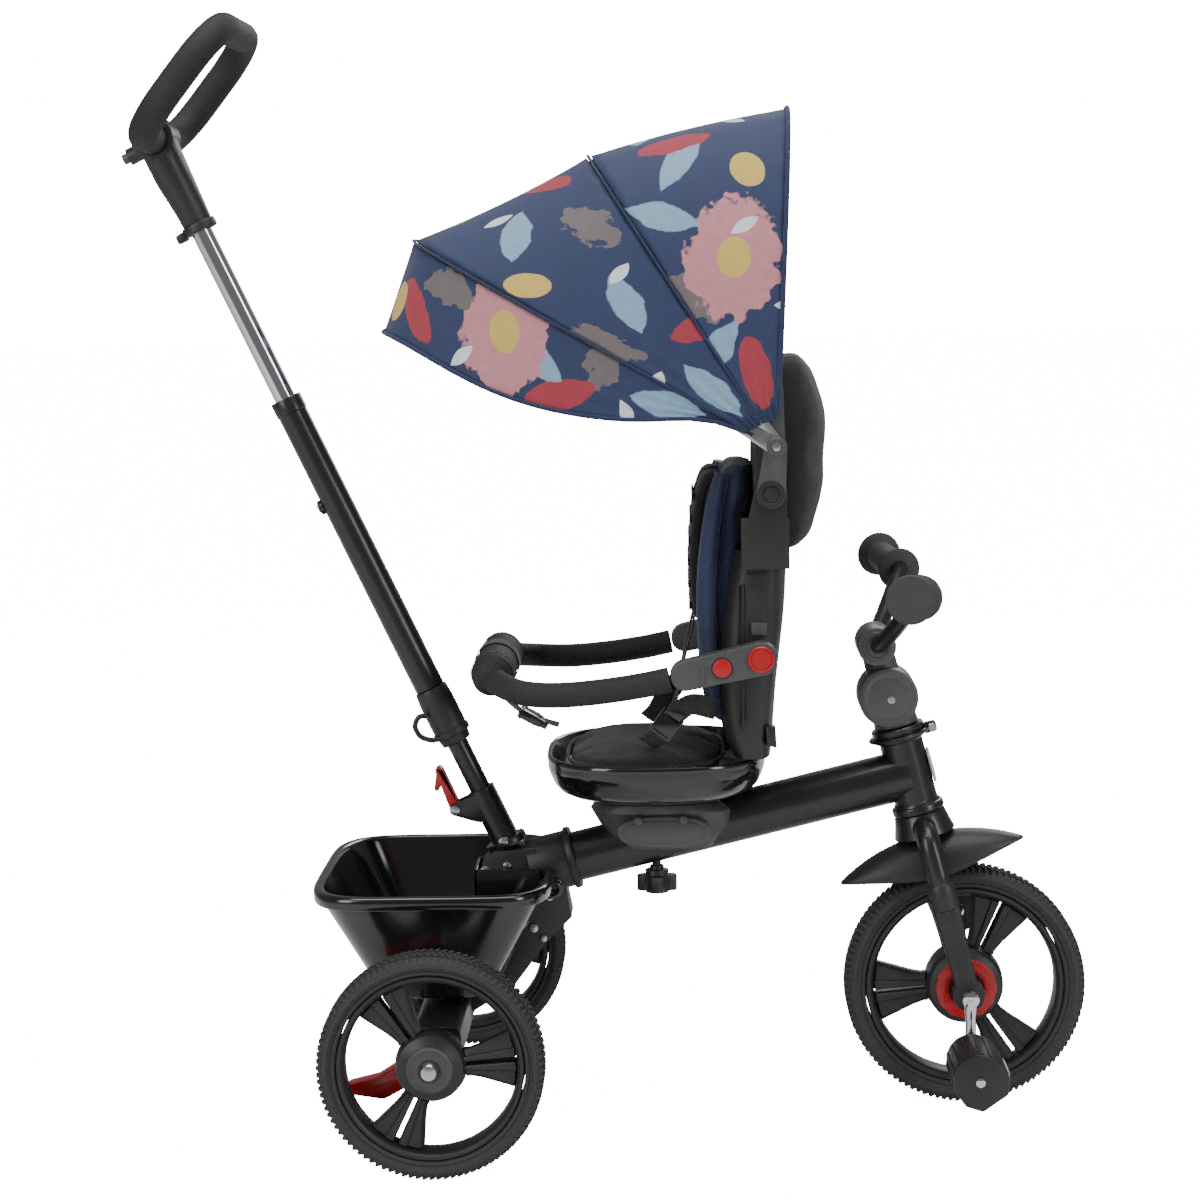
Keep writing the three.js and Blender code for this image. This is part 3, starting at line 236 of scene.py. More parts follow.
def show(name, bm, look, slot, body, *nodes, sharp=35):
    """Makes a finished piece of a bmesh, which rides on a body and may stand for CAD nodes."""
    mesh = bpy.data.meshes.new(name)
    bm.to_mesh(mesh)
    bm.free()
    mesh.materials.append(look)
    mesh.shade_smooth()
    mesh.set_sharp_from_angle(angle=math.radians(sharp))
    item = bpy.data.objects.new(name, mesh)
    scene.collection.objects.link(item)
    if body:
        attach(item, body)
    if nodes:
        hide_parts(*nodes)
    return item


def turned(profile, where, steps=64, closed=False):
    """A lathe-turned piece: (radius, height) pairs in mm spun about the local Z axis."""
    bm = bmesh.new()
    ring = [bm.verts.new((r * MM, 0, h * MM)) for r, h in profile]
    pairs = list(zip(ring, ring[1:])) + ([(ring[-1], ring[0])] if closed else [])
    edges = [bm.edges.new(pair) for pair in pairs]
    bmesh.ops.spin(bm, geom=ring + edges, cent=(0, 0, 0), axis=(0, 0, 1), angle=2 * math.pi,
                   steps=steps, use_merge=True)
    bmesh.ops.remove_doubles(bm, verts=bm.verts, dist=1e-6)
    bmesh.ops.recalc_face_normals(bm, faces=bm.faces)
    bm.transform(where)
    return bm


def slab(outline, y0, y1, soften=0.8, segments=2):
    """A plate with an outline drawn in X and Z, from y0 to y1, all in mm, with softened rims."""
    bm = bmesh.new()
    face = bm.faces.new([bm.verts.new((x * MM, y0 * MM, z * MM)) for x, z in outline])
    grown = bmesh.ops.extrude_face_region(bm, geom=[face])["geom"]
    far = [v for v in grown if isinstance(v, bmesh.types.BMVert)]
    bmesh.ops.translate(bm, verts=far, vec=(0, (y1 - y0) * MM, 0))
    bmesh.ops.recalc_face_normals(bm, faces=bm.faces)
    if soften:
        rims = [e for e in bm.edges if e.calc_face_angle(0) > 0.6]
        bmesh.ops.bevel(bm, geom=rims, offset=soften * MM, segments=segments, profile=0.5,
                        affect="EDGES", material=-1, clamp_overlap=True)
    return bm


def together(first, *others):
    """Adds the shapes of other bmeshes to the first, as moulded or welded in one piece."""
    for other in others:
        spare = bpy.data.meshes.new("spare")
        other.to_mesh(spare)
        other.free()
        first.from_mesh(spare)
        bpy.data.meshes.remove(spare)
    return first


def at(x, y, z):
    return Matrix.Translation((x * MM, y * MM, z * MM))


along_y = Matrix.Rotation(math.radians(-90), 4, "X")
rear_axle = (-489, 101.6)
tyre_half = 21

rim_plastic = finish("black rim plastic", (0.010, 0.010, 0.011), (0.020, 0.020, 0.021), 0.42,
                     spread=0.16, grain=1300)
cap_plastic = finish("dark grey cap plastic", (0.045, 0.046, 0.048), (0.062, 0.063, 0.066), 0.5)
zinc = finish("zinc plated steel", (0.55, 0.55, 0.56), (0.42, 0.42, 0.43), 0.26, spread=0.2,
              grain=900, metallic=1.0)

# Foam rubber: matt, finely speckled, a touch lighter where the mould's parting lines rubbed.
tyre_rubber, tree, shader, where = bare_finish("foam rubber")
speckle = noise_of(tree, where, 2600, 2)
smear = noise_of(tree, where, 22, 4)
tone = blend_colors(tree, speckle, (0.011, 0.011, 0.012), (0.036, 0.036, 0.038))
tree.links.new(blend_colors(tree, calc(tree, "MULTIPLY", smear, 0.5), tone, (0.050, 0.049, 0.048)),
               shader.inputs["Base Color"])
tree.links.new(calc(tree, "ADD", calc(tree, "MULTIPLY", smear, 0.25), 0.55), shader.inputs["Roughness"])
bump(tree, shader, speckle, 0.00025)


def tyre(radius):
    inner = radius * 0.82 + 0.4
    half = tyre_half
    profile = [
        (inner, half - 6), (inner + 1.2, half - 4.6), (inner + 3.4, half - 4.0),
        (inner + 4.0, half - 4.6), (inner + 4.8, half - 3.4), (radius - 10, half - 0.6),
        (radius - 7.2, half - 1.3), (radius - 6.4, half - 2.4), (radius - 5.2, half - 3.0),
        (radius - 3.2, half - 6.5), (radius - 2.0, half - 12), (radius - 1.6, 0),
    ]
    return turned(profile + [(r, -y) for r, y in profile[-2::-1]], along_y, 96, closed=True)


def tread(radius, count):
    """Three staggered rows of slanted lugs round the tyre, and a row of serrations on each edge."""
    lug = bmesh.new()
    for row, reach, slant in ((-8.2, 7.4, 24), (0, 6.4, 0), (8.2, 7.4, -24)):
        for i in range(count):
            angle = 2 * math.pi * (i + (0.5 if row == 0 else 0)) / count
            place = (Matrix.Rotation(angle, 4, "Y") @ at(0, row, radius - 1.6)
                     @ Matrix.Rotation(math.radians(slant), 4, "Z")
                     @ Matrix.Diagonal((radius * 3.5 / count * MM, reach * MM, 1.6 * MM, 1)))
            bmesh.ops.create_cube(lug, size=1, matrix=place)
    for side in (-1, 1):
        for i in range(count):
            angle = 2 * math.pi * (i + 0.25) / count
            place = (Matrix.Rotation(angle, 4, "Y") @ at(0, side * (tyre_half - 4.4), radius - 4.6)
                     @ Matrix.Rotation(math.radians(side * -52), 4, "X")
                     @ Matrix.Diagonal((radius * 2.6 / count * MM, 7.0 * MM, 2.2 * MM, 1)))
            bmesh.ops.create_cube(lug, size=1, matrix=place)
    return lug


def wheel_rim(radius, hub, hub_half, first_spoke, bore):
    outer = radius * 0.82
    inner = outer * 0.92
    edge = tyre_half - 5
    body = turned([(outer - 0.4, edge - 1), (outer - 1.2, edge), (inner + 3.2, edge),
                   (inner + 1.6, edge - 1.2),
                   (inner, edge - 4), (inner - 0.8, 0), (inner, 4 - edge), (inner + 1.6, 1.2 - edge),
                   (inner + 3.2, -edge), (outer - 1.2, -edge), (outer - 0.4, 1 - edge)],
                  along_y, 96, closed=True)
    boss = turned([(bore, hub_half), (hub * 0.62, hub_half), (hub * 0.72, hub_half - 0.8),
                   (hub * 0.78, hub_half - 3.4), (hub * 0.93, hub_half - 5.5), (hub, hub_half - 9),
                   (hub + 1.2, 0), (hub, 9 - hub_half), (hub * 0.93, 5.5 - hub_half),
                   (hub * 0.78, 3.4 - hub_half), (hub * 0.62, -hub_half), (bore, -hub_half)],
                  along_y, 64, closed=True)
    together(body, boss)
    for i in range(3):
        lean = Matrix.Rotation(-math.radians(first_spoke + 120 * i), 4, "Y")
        for side in (-1, 1):
            near, far = hub - 3, inner + 2
            wide = math.radians(19.6)
            waist = near * math.sin(wide)
            outline = [(near, side * 1.6), (far, side * 2.0), (far * math.cos(wide),
                                                               side * far * math.sin(wide)),
                       (near + 16, side * (waist + 5.2)), (near + 6, side * (waist + 2.6)),
                       (near, side * (waist + 3.4))]
            half = slab(outline, -7.5, 7.5, 3.2, 1)
            half.transform(lean)
            rib = slab([(near, side * 1.8), (far - 3, side * 2.2), (far - 3, side * 10.5),
                        (near, side * 5.8)],
                       -9.6, 9.6, 1.0, 1)
            rib.transform(lean)
            together(body, half, rib)
    return body


def build_wheel(label, body, radius, centre, hub, hub_half, first_spoke, bore, count, nodes):
    where = at(*centre)
    for suffix, shape, look, slot in (
        ("tyre", tyre(radius), tyre_rubber, "tyre"),
        ("tread", tread(radius, count), tyre_rubber, "tyre"),
        ("rim", wheel_rim(radius, hub, hub_half, first_spoke, bore), rim_plastic, "black_plastic"),
    ):
        shape.transform(where)
        stands = [nodes[suffix]] if suffix in nodes else []
        show(f"{label}_{suffix}_moulding", shape, look, slot, body, *stands, sharp=28)


build_wheel("front", "front_wheel", 114.3, (0, 0, 114.3), 36, 25, 65, 6.8, 110,
            {"tyre": "front_tyre", "rim": "front_rim"})
for side, sign in (("right", -1), ("left", 1)):
    middle = (rear_axle[0], sign * 220, rear_axle[1])
    build_wheel(f"rear_{side}", f"rear_wheel_{side}", 101.6, middle, 31, 18, 4.5, 5.8, 100,
                {"tyre": f"rear_tyre_{side}", "rim": f"rear_rim_{side}"})
    cap = turned([(5.8, 18.3), (20.4, 18.3), (21, 18.9), (20.6, 21.2), (18.6, 22.8), (17.6, 22.2), (12, 22.2),
                  (10.6, 23.0), (9.4, 22.4), (5.8, 22.4)], along_y if sign > 0 else along_y.inverted(), 56,
                 closed=True)
    cap.transform(at(*middle))
    show(f"hub_cap_moulding_{side}", cap, cap_plastic, "grey_plastic", f"rear_wheel_{side}",
         f"hub_cap_{side}")

# ---- Canopy cloth -------------------------------------------------------------------------------
# Three curved panels of printed polyester, sewn together over wire bows that fan out from a bolt
# on each side. The print is a scatter of flowers, petals, leaves, twigs and seeds.
bolt = (-176, 0, 635)
rear_bow, middle_bow, front_bow = (86.8, 303.5, 0, 0), (122.3, 311, 0, 0), (150.1, 379, 0, 0)
peak_hem = (163.5, 374, 43, 12)


def on_bow(bow, t, half, inset=0.0):
    """A point on a bow, in mm from the bolt; t runs from one bolt over the crown to the other."""
    angle, reach, droop, lift = bow
    s = abs(math.sin(t))
    across = -math.copysign(abs(math.cos(t)) ** (2 / 3), math.cos(t)) * half
    heading = math.radians(angle + droop * s * (1 - s) ** 2 - lift * math.exp(-(s / 0.12) ** 2))
    out = s ** (2 / 3) * (reach - inset)
    return Vector((out * math.cos(heading), across, out * math.sin(heading)))


def panel_point(bow_a, bow_b, share, t, swell, half=137.6, inset=0.4):
    a, b = on_bow(bow_a, t, half, inset), on_bow(bow_b, t, half, inset)
    place = a.lerp(b, share)
    fill = 1 + swell * 4 * share * (1 - share)
    s = abs(math.sin(t))
    pucker = (0.9 * math.exp(-(s / 0.30) ** 2) * math.sin(22 * share)
              + 0.5 * math.sin(31 * t) * math.exp(-min(share, 1 - share) * 14))
    place = Vector((place.x * fill, place.y, place.z * fill))
    outward = Vector((place.x, place.y * 1.2, place.z)).normalized()
    return place + outward * (pucker - 0.9)


def canopy_panel(bow_a, bow_b, begin, end, swell):
    bm = bmesh.new()
    uv_layer = bm.loops.layers.uv.new("UVMap")
    rows, columns = 22, 110
    first = math.asin((24 / bow_a[1]) ** 1.5)
    grid, flat = [], {}
    for i in range(columns + 1):
        t = first + (math.pi - 2 * first) * i / columns
        line = []
        for r in range(rows + 1):
            share = begin + (end - begin) * r / rows
            vert = bm.verts.new((panel_point(bow_a, bow_b, share, t, swell) + Vector(bolt)) * MM)
            line.append(vert)
        grid.append(line)
    along = 0.0
    middle_row = rows // 2
    for i, line in enumerate(grid):
        if i:
            along += (line[middle_row].co - grid[i - 1][middle_row].co).length
        width = sum((line[r + 1].co - line[r].co).length for r in range(rows))
        for r, vert in enumerate(line):
            flat[vert] = (along, width * (r / rows - 0.5))
    for i in range(columns):
        for r in range(rows):
            face = bm.faces.new((grid[i][r], grid[i][r + 1], grid[i + 1][r + 1], grid[i + 1][r]))
            for loop in face.loops:
                loop[uv_layer].uv = flat[loop.vert]
    bmesh.ops.recalc_face_normals(bm, faces=bm.faces)
    area = sum(face.calc_area() for face in bm.faces)
    lengths = max(sum((a[r].co - b[r].co).length for a, b in zip(grid, grid[1:])) for r in range(rows + 1))
    return bm, area, lengths, along


motif_group, given, made = new_group(
    "printed motif",
    [("v", "Vector"), ("v", "Centre"), ("f", "Angle"), ("f", "Half length"), ("f", "Half width"),
     ("f", "Point"), ("f", "Ragged")],
    [("f", "Mask")],
)
link = motif_group.links.new
offset = motif_group.nodes.new("ShaderNodeVectorMath")
offset.operation = "SUBTRACT"
link(given.outputs["Vector"], offset.inputs[0])
link(given.outputs["Centre"], offset.inputs[1])
spun = motif_group.nodes.new("ShaderNodeVectorRotate")
spun.rotation_type = "Z_AXIS"
link(offset.outputs["Vector"], spun.inputs["Vector"])
link(given.outputs["Angle"], spun.inputs["Angle"])
parts = motif_group.nodes.new("ShaderNodeSeparateXYZ")
link(spun.outputs["Vector"], parts.inputs["Vector"])
x = calc(motif_group, "DIVIDE", parts.outputs["X"], given.outputs["Half length"])
across = calc(motif_group, "DIVIDE", parts.outputs["Y"], given.outputs["Half width"])
y = calc(motif_group, "ABSOLUTE", across)
power = calc(motif_group, "SUBTRACT", 2.0, given.outputs["Point"])
spread = calc(motif_group, "ADD", calc(motif_group, "MULTIPLY", x, x), calc(motif_group, "POWER", y, power))
edge = noise_of(motif_group, given.outputs["Vector"], 70, 2)
frayed = calc(motif_group, "MULTIPLY", calc(motif_group, "SUBTRACT", edge, 0.5), given.outputs["Ragged"])
ragged_spread = calc(motif_group, "ADD", spread, frayed)
edge_sharpness = 9.0
inside = calc(motif_group, "MULTIPLY", calc(motif_group, "SUBTRACT", 1.0, ragged_spread), edge_sharpness)
held = motif_group.nodes.new("ShaderNodeClamp")
link(inside, held.inputs["Value"])
link(held.outputs["Result"], made.inputs["Mask"])

crimson, pink, pale_blue = (0.40, 0.030, 0.045), (0.62, 0.25, 0.28), (0.25, 0.42, 0.58)
lemon, chalk, bark = (0.72, 0.50, 0.10), (0.80, 0.84, 0.86), (0.16, 0.135, 0.13)
LEAF, PETAL = 1.0, 0.0


def printed(label, motifs):
    """Navy cloth with motifs: (colour, u, v, angle, half length, half width, point, ragged)."""
    look, tree, shader, where = bare_finish(label)
    uv = tree.nodes.new("ShaderNodeUVMap")
    uv.uv_map = "UVMap"
    uv = uv.outputs["UV"]
    wash = noise_of(tree, uv, 30, 3)
    color = blend_colors(tree, wash, (0.010, 0.022, 0.075), (0.020, 0.038, 0.115))
    for tint, u, v, angle, long, wide, point, ragged in motifs:
        mark = tree.nodes.new("ShaderNodeGroup")
        mark.node_tree = motif_group
        tree.links.new(uv, mark.inputs["Vector"])
        mark.inputs["Centre"].default_value = (u, v, 0)
        mark.inputs["Angle"].default_value = math.radians(angle)
        mark.inputs["Half length"].default_value = long
        mark.inputs["Half width"].default_value = wide
        mark.inputs["Point"].default_value = point
        mark.inputs["Ragged"].default_value = ragged
        color = blend_colors(tree, mark.outputs["Mask"], color, tint)
    dab = noise_of(tree, uv, 110, 3)
    color = blend_colors(tree, calc(tree, "MULTIPLY", dab, 0.28), color, (0.02, 0.03, 0.08))
    tree.links.new(color, shader.inputs["Base Color"])
    tree.links.new(calc(tree, "ADD", calc(tree, "MULTIPLY", wash, 0.2), 0.62), shader.inputs["Roughness"])
    weave = tree.nodes.new("ShaderNodeTexWave")
    weave.inputs["Scale"].default_value = 420
    weave.inputs["Distortion"].default_value = 0.6
    tree.links.new(uv, weave.inputs["Vector"])
    bump(tree, shader, calc(tree, "ADD", calc(tree, "MULTIPLY", weave.outputs["Fac"], 0.5), wash), 0.00012)
    shader.inputs["Sheen Weight"].default_value = 0.15
    return look


# The print: a rag flower with a yellow heart, petals, leaves, twigs and seeds, each kind in one
# size. Up each panel's near half they follow one another at an even pitch, swaying from the rear
# bow to the front one, and the far half mirrors them.
MOTIFS = {
    "flower": (pink, 0.056, 0.042, PETAL, 1.5),
    "heart": (lemon, 0.019, 0.015, PETAL, 0.3),
    "petal": (crimson, 0.034, 0.014, PETAL, 0.8),
    "leaf": (pale_blue, 0.036, 0.014, LEAF, 0.5),
    "twig": (bark, 0.032, 0.018, LEAF, 2.2),
    "seed": (chalk, 0.015, 0.006, LEAF, 0.1),
}


def strewn(kinds, first, pitch, sway):
    """Motif settings for a row of kinds that starts at first and steps up by pitch.

    Each motif turns 50 degrees further than the one below it, and sways across by a sine.
    """
    marks = []
    for place, kind in enumerate(kinds.split()):
        spot = (first + pitch * place, sway * math.sin(2.4 * place), 50 * place % 180)
        for layer in (kind, "heart") if kind == "flower" else (kind,):
            tint, *form = MOTIFS[layer]
            marks.append((tint, *spot, *form))
    return marks


rear_print = strewn("petal leaf seed twig flower seed leaf heart leaf petal seed leaf twig", 0.045, 0.026,
                    0.045)
middle_print = strewn("leaf seed petal twig leaf seed heart twig leaf seed petal heart", 0.05, 0.028, 0.045)
peak_print = strewn("leaf seed twig petal leaf flower seed twig petal heart seed", 0.08, 0.032, 0.025)


def both_sides(marks, length):
    return marks + [(tint, length - u, v, -angle, *rest) for tint, u, v, angle, *rest in marks]


panels = [
    ("canopy_rear_panel", rear_bow, middle_bow, 0.0, 0.985, 0.013, "canopy_rear_cloth",
     ["canopy_frame", "middle_bow"], rear_print),
    ("canopy_middle_panel", middle_bow, front_bow, 0.012, 0.985, -0.012, "canopy_middle_cloth",
     ["middle_bow", "front_bow"],
     middle_print),
    ("canopy_peak_panel", front_bow, peak_hem, 0.03, 1.0, 0.0, "canopy_peak_cloth", ["front_bow"],
     peak_print),
]
for name, bow_a, bow_b, begin, end, swell, node, rests, marks in panels:
    shape, area, length, middle_length = canopy_panel(bow_a, bow_b, begin, end, swell)
    look = printed(f"{name} print", both_sides(marks, middle_length))
    panel = show(name, shape, look, "printed_cloth", "front_bow" if bow_b is peak_hem else None, node,
                 sharp=80)
    wall = panel.modifiers.new("cloth thickness", "SOLIDIFY")
    wall.thickness = 1.1 * MM
    wall.offset = -1
    if bow_b is middle_bow:
        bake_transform(panel)
    elif bow_b is front_bow:
        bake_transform(panel)

# ---- Frame tubes, head tube and rear bracket ------------------------------------------------------
# Satin black enamelled steel tube welded into a head tube in front and clamped in a moulded rear
# bracket. The round tubes are lathe-turned or swept, and the welded and moulded parts are refined.
enamel = finish("satin black enamel", (0.012, 0.012, 0.013), (0.020, 0.020, 0.021), 0.33, spread=0.12,
                grain=1800, depth=0.00005, metallic=0.25, coat=0.25)
grey_plastic = finish("satin grey plastic", (0.055, 0.056, 0.058), (0.075, 0.076, 0.078), 0.42, spread=0.14,
                      grain=1400, depth=0.00006)
black_plastic = finish("matt black plastic", (0.012, 0.012, 0.013), (0.022, 0.022, 0.023), 0.46, spread=0.16,
                       grain=1300, depth=0.00008)
gloss_plastic = finish("polished black plastic", (0.004, 0.004, 0.005), (0.009, 0.009, 0.010), 0.14,
                       spread=0.08,
                       grain=700, depth=0.00002, coat=0.5)
red_plastic = finish("bright red plastic", (0.50, 0.010, 0.014), (0.38, 0.008, 0.012), 0.30, spread=0.1,
                     grain=1200, depth=0.00004)
chrome_metal = finish("chrome plate", (0.72, 0.72, 0.74), (0.60, 0.60, 0.62), 0.07, spread=0.05, grain=600,
                      depth=0.00001, metallic=1.0)
foam_skin = finish("closed cell foam", (0.010, 0.010, 0.011), (0.020, 0.020, 0.021), 0.72, spread=0.14,
                   grain=1700, depth=0.0003, patches=40)

steer = at(0, 0, 114.3) @ Matrix.Rotation(math.radians(-14), 4, "Y")
pole_place = at(-428.3, 0, 247.1) @ Matrix.Rotation(math.radians(-25), 4, "Y")
seat_place = at(-290, 0, 296.03)
bar_place = at(-192, 0, 446.03)


def refined(node, look, slot, body, soften=0.7, sharp=34):
    """A finished copy of a CAD piece, with its edges rounded and its round faces smoothed."""
    bm = bmesh.new()
    bm.from_mesh(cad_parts[node].data)
    bmesh.ops.remove_doubles(bm, verts=bm.verts, dist=2e-6)
    bmesh.ops.dissolve_limit(bm, angle_limit=math.radians(1.5), verts=bm.verts, edges=bm.edges)
    if soften:
        rims = [e for e in bm.edges if e.calc_face_angle(0) > math.radians(sharp)]
        bmesh.ops.bevel(bm, geom=rims, offset=soften * MM, segments=2, profile=0.5, affect="EDGES",
                        material=-1, clamp_overlap=True)
    return show(f"{node}_finished", bm, look, slot, body, node, sharp=sharp)


def smooth_path(points, steps=8, closed=False):
    """Points in mm along a rounded curve through the given ones."""
    spots = [Vector(p) for p in points]
    count = len(spots)
    path = []
    for i in range(count if closed else count - 1):
        if closed:
            p0, p1, p2, p3 = (spots[(i + k) % count] for k in (-1, 0, 1, 2))
        else:
            p1, p2 = spots[i], spots[i + 1]
            p0 = spots[i - 1] if i else p1 * 2 - p2
            p3 = spots[i + 2] if i + 2 < count else p2 * 2 - p1
        for k in range(steps):
            t = k / steps
            path.append(0.5 * (2 * p1 + (p2 - p0) * t + (2 * p0 - 5 * p1 + 4 * p2 - p3) * t * t
                               + (3 * p1 - 3 * p2 + p3 - p0) * t ** 3))
    if not closed:
        path.append(spots[-1])
    return path


def swept(path, radius, sides=24, closed=False, flatten=1.0, up=(0, 1, 0)):
    """A round or flattened tube along a path in mm; radius is one size or one for each point."""
    bm = bmesh.new()
    count = len(path)
    sizes = radius if isinstance(radius, list) else [radius] * count
    rings = []
    side_way = Vector(up)
    for i, place in enumerate(path):
        before = path[i - 1] if i or closed else place
        after = path[(i + 1) % count] if i + 1 < count or closed else place
        along = (after - before).normalized()
        side_way = (side_way - along * side_way.dot(along)).normalized()
        other = along.cross(side_way)
        rings.append([
            bm.verts.new((place + side_way * math.cos(a) * sizes[i]
                          + other * math.sin(a) * sizes[i] * flatten) * MM)
            for a in (2 * math.pi * k / sides for k in range(sides))
        ])
    pairs = list(zip(rings, rings[1:])) + ([(rings[-1], rings[0])] if closed else [])
    for one, two in pairs:
        for k in range(sides):
            bm.faces.new((one[k], one[(k + 1) % sides], two[(k + 1) % sides], two[k]))
    if not closed:
        bm.faces.new(rings[0])
        bm.faces.new(rings[-1])
    bmesh.ops.recalc_face_normals(bm, faces=bm.faces)
    return bm


def straight(start, end, radius, sides=40):
    return swept([Vector(start), Vector(end)], radius, sides)


def drum(radius, half, where, edge=1.2, sides=48):
    """A round boss along Y, centred, with rounded rims."""
    body = turned([(0, -half), (radius - edge, -half), (radius - edge * 0.3, -half + edge * 0.3),
                   (radius, -half + edge),
                   (radius, half - edge), (radius - edge * 0.3, half - edge * 0.3), (radius - edge, half),
                   (0, half)],
                  where @ along_y, sides)
    return body


tube_rear, tube_front = Vector((-401, 0, 232.1)), Vector((-50.2, 0, 315.64))
show("main_tube_finished", straight(tube_rear, tube_front, 23.5, 72), enamel, "satin_metal", "frame",
     "main_tube")
head = turned([(11.8, 171.3), (24, 171.3), (24.6, 172.2), (24.6, 176.6), (24, 177.8), (22.4, 178.6),
               (21.6, 180.6),
               (20.5, 182), (20.5, 240), (21.4, 241.2), (23, 241.6), (24.6, 242.6), (24.8, 247.4),
               (23.6, 248.2),
               (23.6, 249.2), (25, 249.8), (25.2, 253.6), (24.2, 254.8), (11.8, 254.8)], Matrix(), 72,
              closed=True)
band = swept(smooth_path([(26 * math.cos(a), 26 * math.sin(a),
                           246) for a in (math.radians(20 * k) for k in range(18))],
                         3, closed=True), 2.2, 8, closed=True, flatten=1.6, up=(0, 0, 1))
lug = slab([(24, 241), (35, 241.5), (36, 243), (36, 250), (34.5, 251), (24, 251)], -5, 5, 0.8)
together(head, band, lug)
head.transform(steer)
show("head_tube_finished", head, enamel, "satin_metal", "frame", "head_tube", sharp=30)
nut = turned([(0, -8), (3.8, -8), (4.4, -7.4), (4.4, -5.2), (2.6, -5), (2.6, 5), (4.4, 5.2), (4.4, 7.6),
              (0, 7.6)],
             steer @ at(31.4, 0, 246) @ along_y, 6)
show("head_clamp_bolt", nut, zinc, "steel", "frame")

# ---- Blank badge -------------------------------------------------------------------------------
# A plain domed disc with a raised rim on the head tube's front, silver with a pale face.
# This pale finish also paints the highlight strips along the pedals' edges.
badge_and_glint_paint = finish("pale badge enamel and painted glint", (0.66, 0.66, 0.67), (0.58, 0.58, 0.60), 0.3, grain=900,
                    depth=0.00003)
badge = turned([(0, 23.3), (13, 23.0), (13.6, 22.5), (14.2, 23.3), (16, 23.3), (16.8, 22.6), (17, 21.0),
                (0, 20.8)],
               steer @ at(0, 0, 211) @ Matrix.Rotation(math.radians(90), 4, "Y"), 48)
show("head_badge_disc", badge, badge_and_glint_paint, "steel", "frame", "head_badge")

# ---- Other frame pieces ------------------------------------------------------------------------
# Socket, bracket, axle beam, seat base: moulded or pressed pieces with rounded edges.
refined("pole_socket", enamel, "satin_metal", "frame", 0.6)
refined("rear_bracket", black_plastic, "satin_metal", "frame", 1.6)
refined("axle_beam", enamel, "satin_metal", "frame", 1.0)
refined("seat_base", grey_plastic, "grey_plastic", "frame", 2.2)
axle = drum(5, 249, at(-489, 0, 101.6), 0.8, 24)
for sign in (-1, 1):
    nut = turned([(0, 243), (9.2, 243), (9.4, 244), (8.8, 247.5), (6.6, 250.2), (3.2, 251.0), (0, 251.2)],
                 at(-489, 0, 101.6) @ (along_y if sign > 0 else along_y.inverted()), 40)
    together(axle, nut)
show("rear_axle_finished", axle, zinc, "steel", "frame", "rear_axle")
refined("steering_link", zinc, "steel", "link", 0)
rear = tube_rear
ring = turned([(24, -1), (29, -1), (29.6, 0), (29.6, 4), (28.6, 5.2), (24, 5.2)], Matrix(), 64, closed=True)
ring.transform(Matrix.Translation((rear + (tube_front - rear).normalized() * 30) * MM)
               @ Matrix.Rotation(math.radians(90 - 13.4), 4, "Y"))
show("tube_end_ring", ring, black_plastic, "satin_metal", "frame")
bolts = bmesh.new()
for x, z, radius in ((-434, 259, 5.0), (-431, 236, 4.6), (-452, 231, 5.2), (-392, 207, 5.4),
                     (-407, 176, 4.6), (-398, 166, 3.8)):
    for sign in (-1, 1):
        rim = turned([(0, 2.4), (radius * 0.5, 2.3), (radius * 0.85, 1.7), (radius, 0.6), (radius, -1),
                      (0, -1)],
                     at(x, sign * 21, z) @ (along_y if sign > 0 else along_y.inverted()), 24)
        together(bolts, rim)
show("bracket_bolts", bolts, zinc, "steel", "frame")

# ---- Fork, stem, handlebar and grips ------------------------------------------------------------
# One bent enamelled tube arches over the mudguard into two moulded legs. The stem is a grey drum
# with a clamp above it, and the ribbed grips have flanges at both ends.
def leg_path(sign):
    top = 159.3
    return [(0, sign * 47.5, 78), (0, sign * 47.5, top * 0.62), (0, sign * 47.5, top * 0.74), (0, sign * 41,
                                                                                               top * 0.92),
            (0, sign * 22, top * 0.99)]


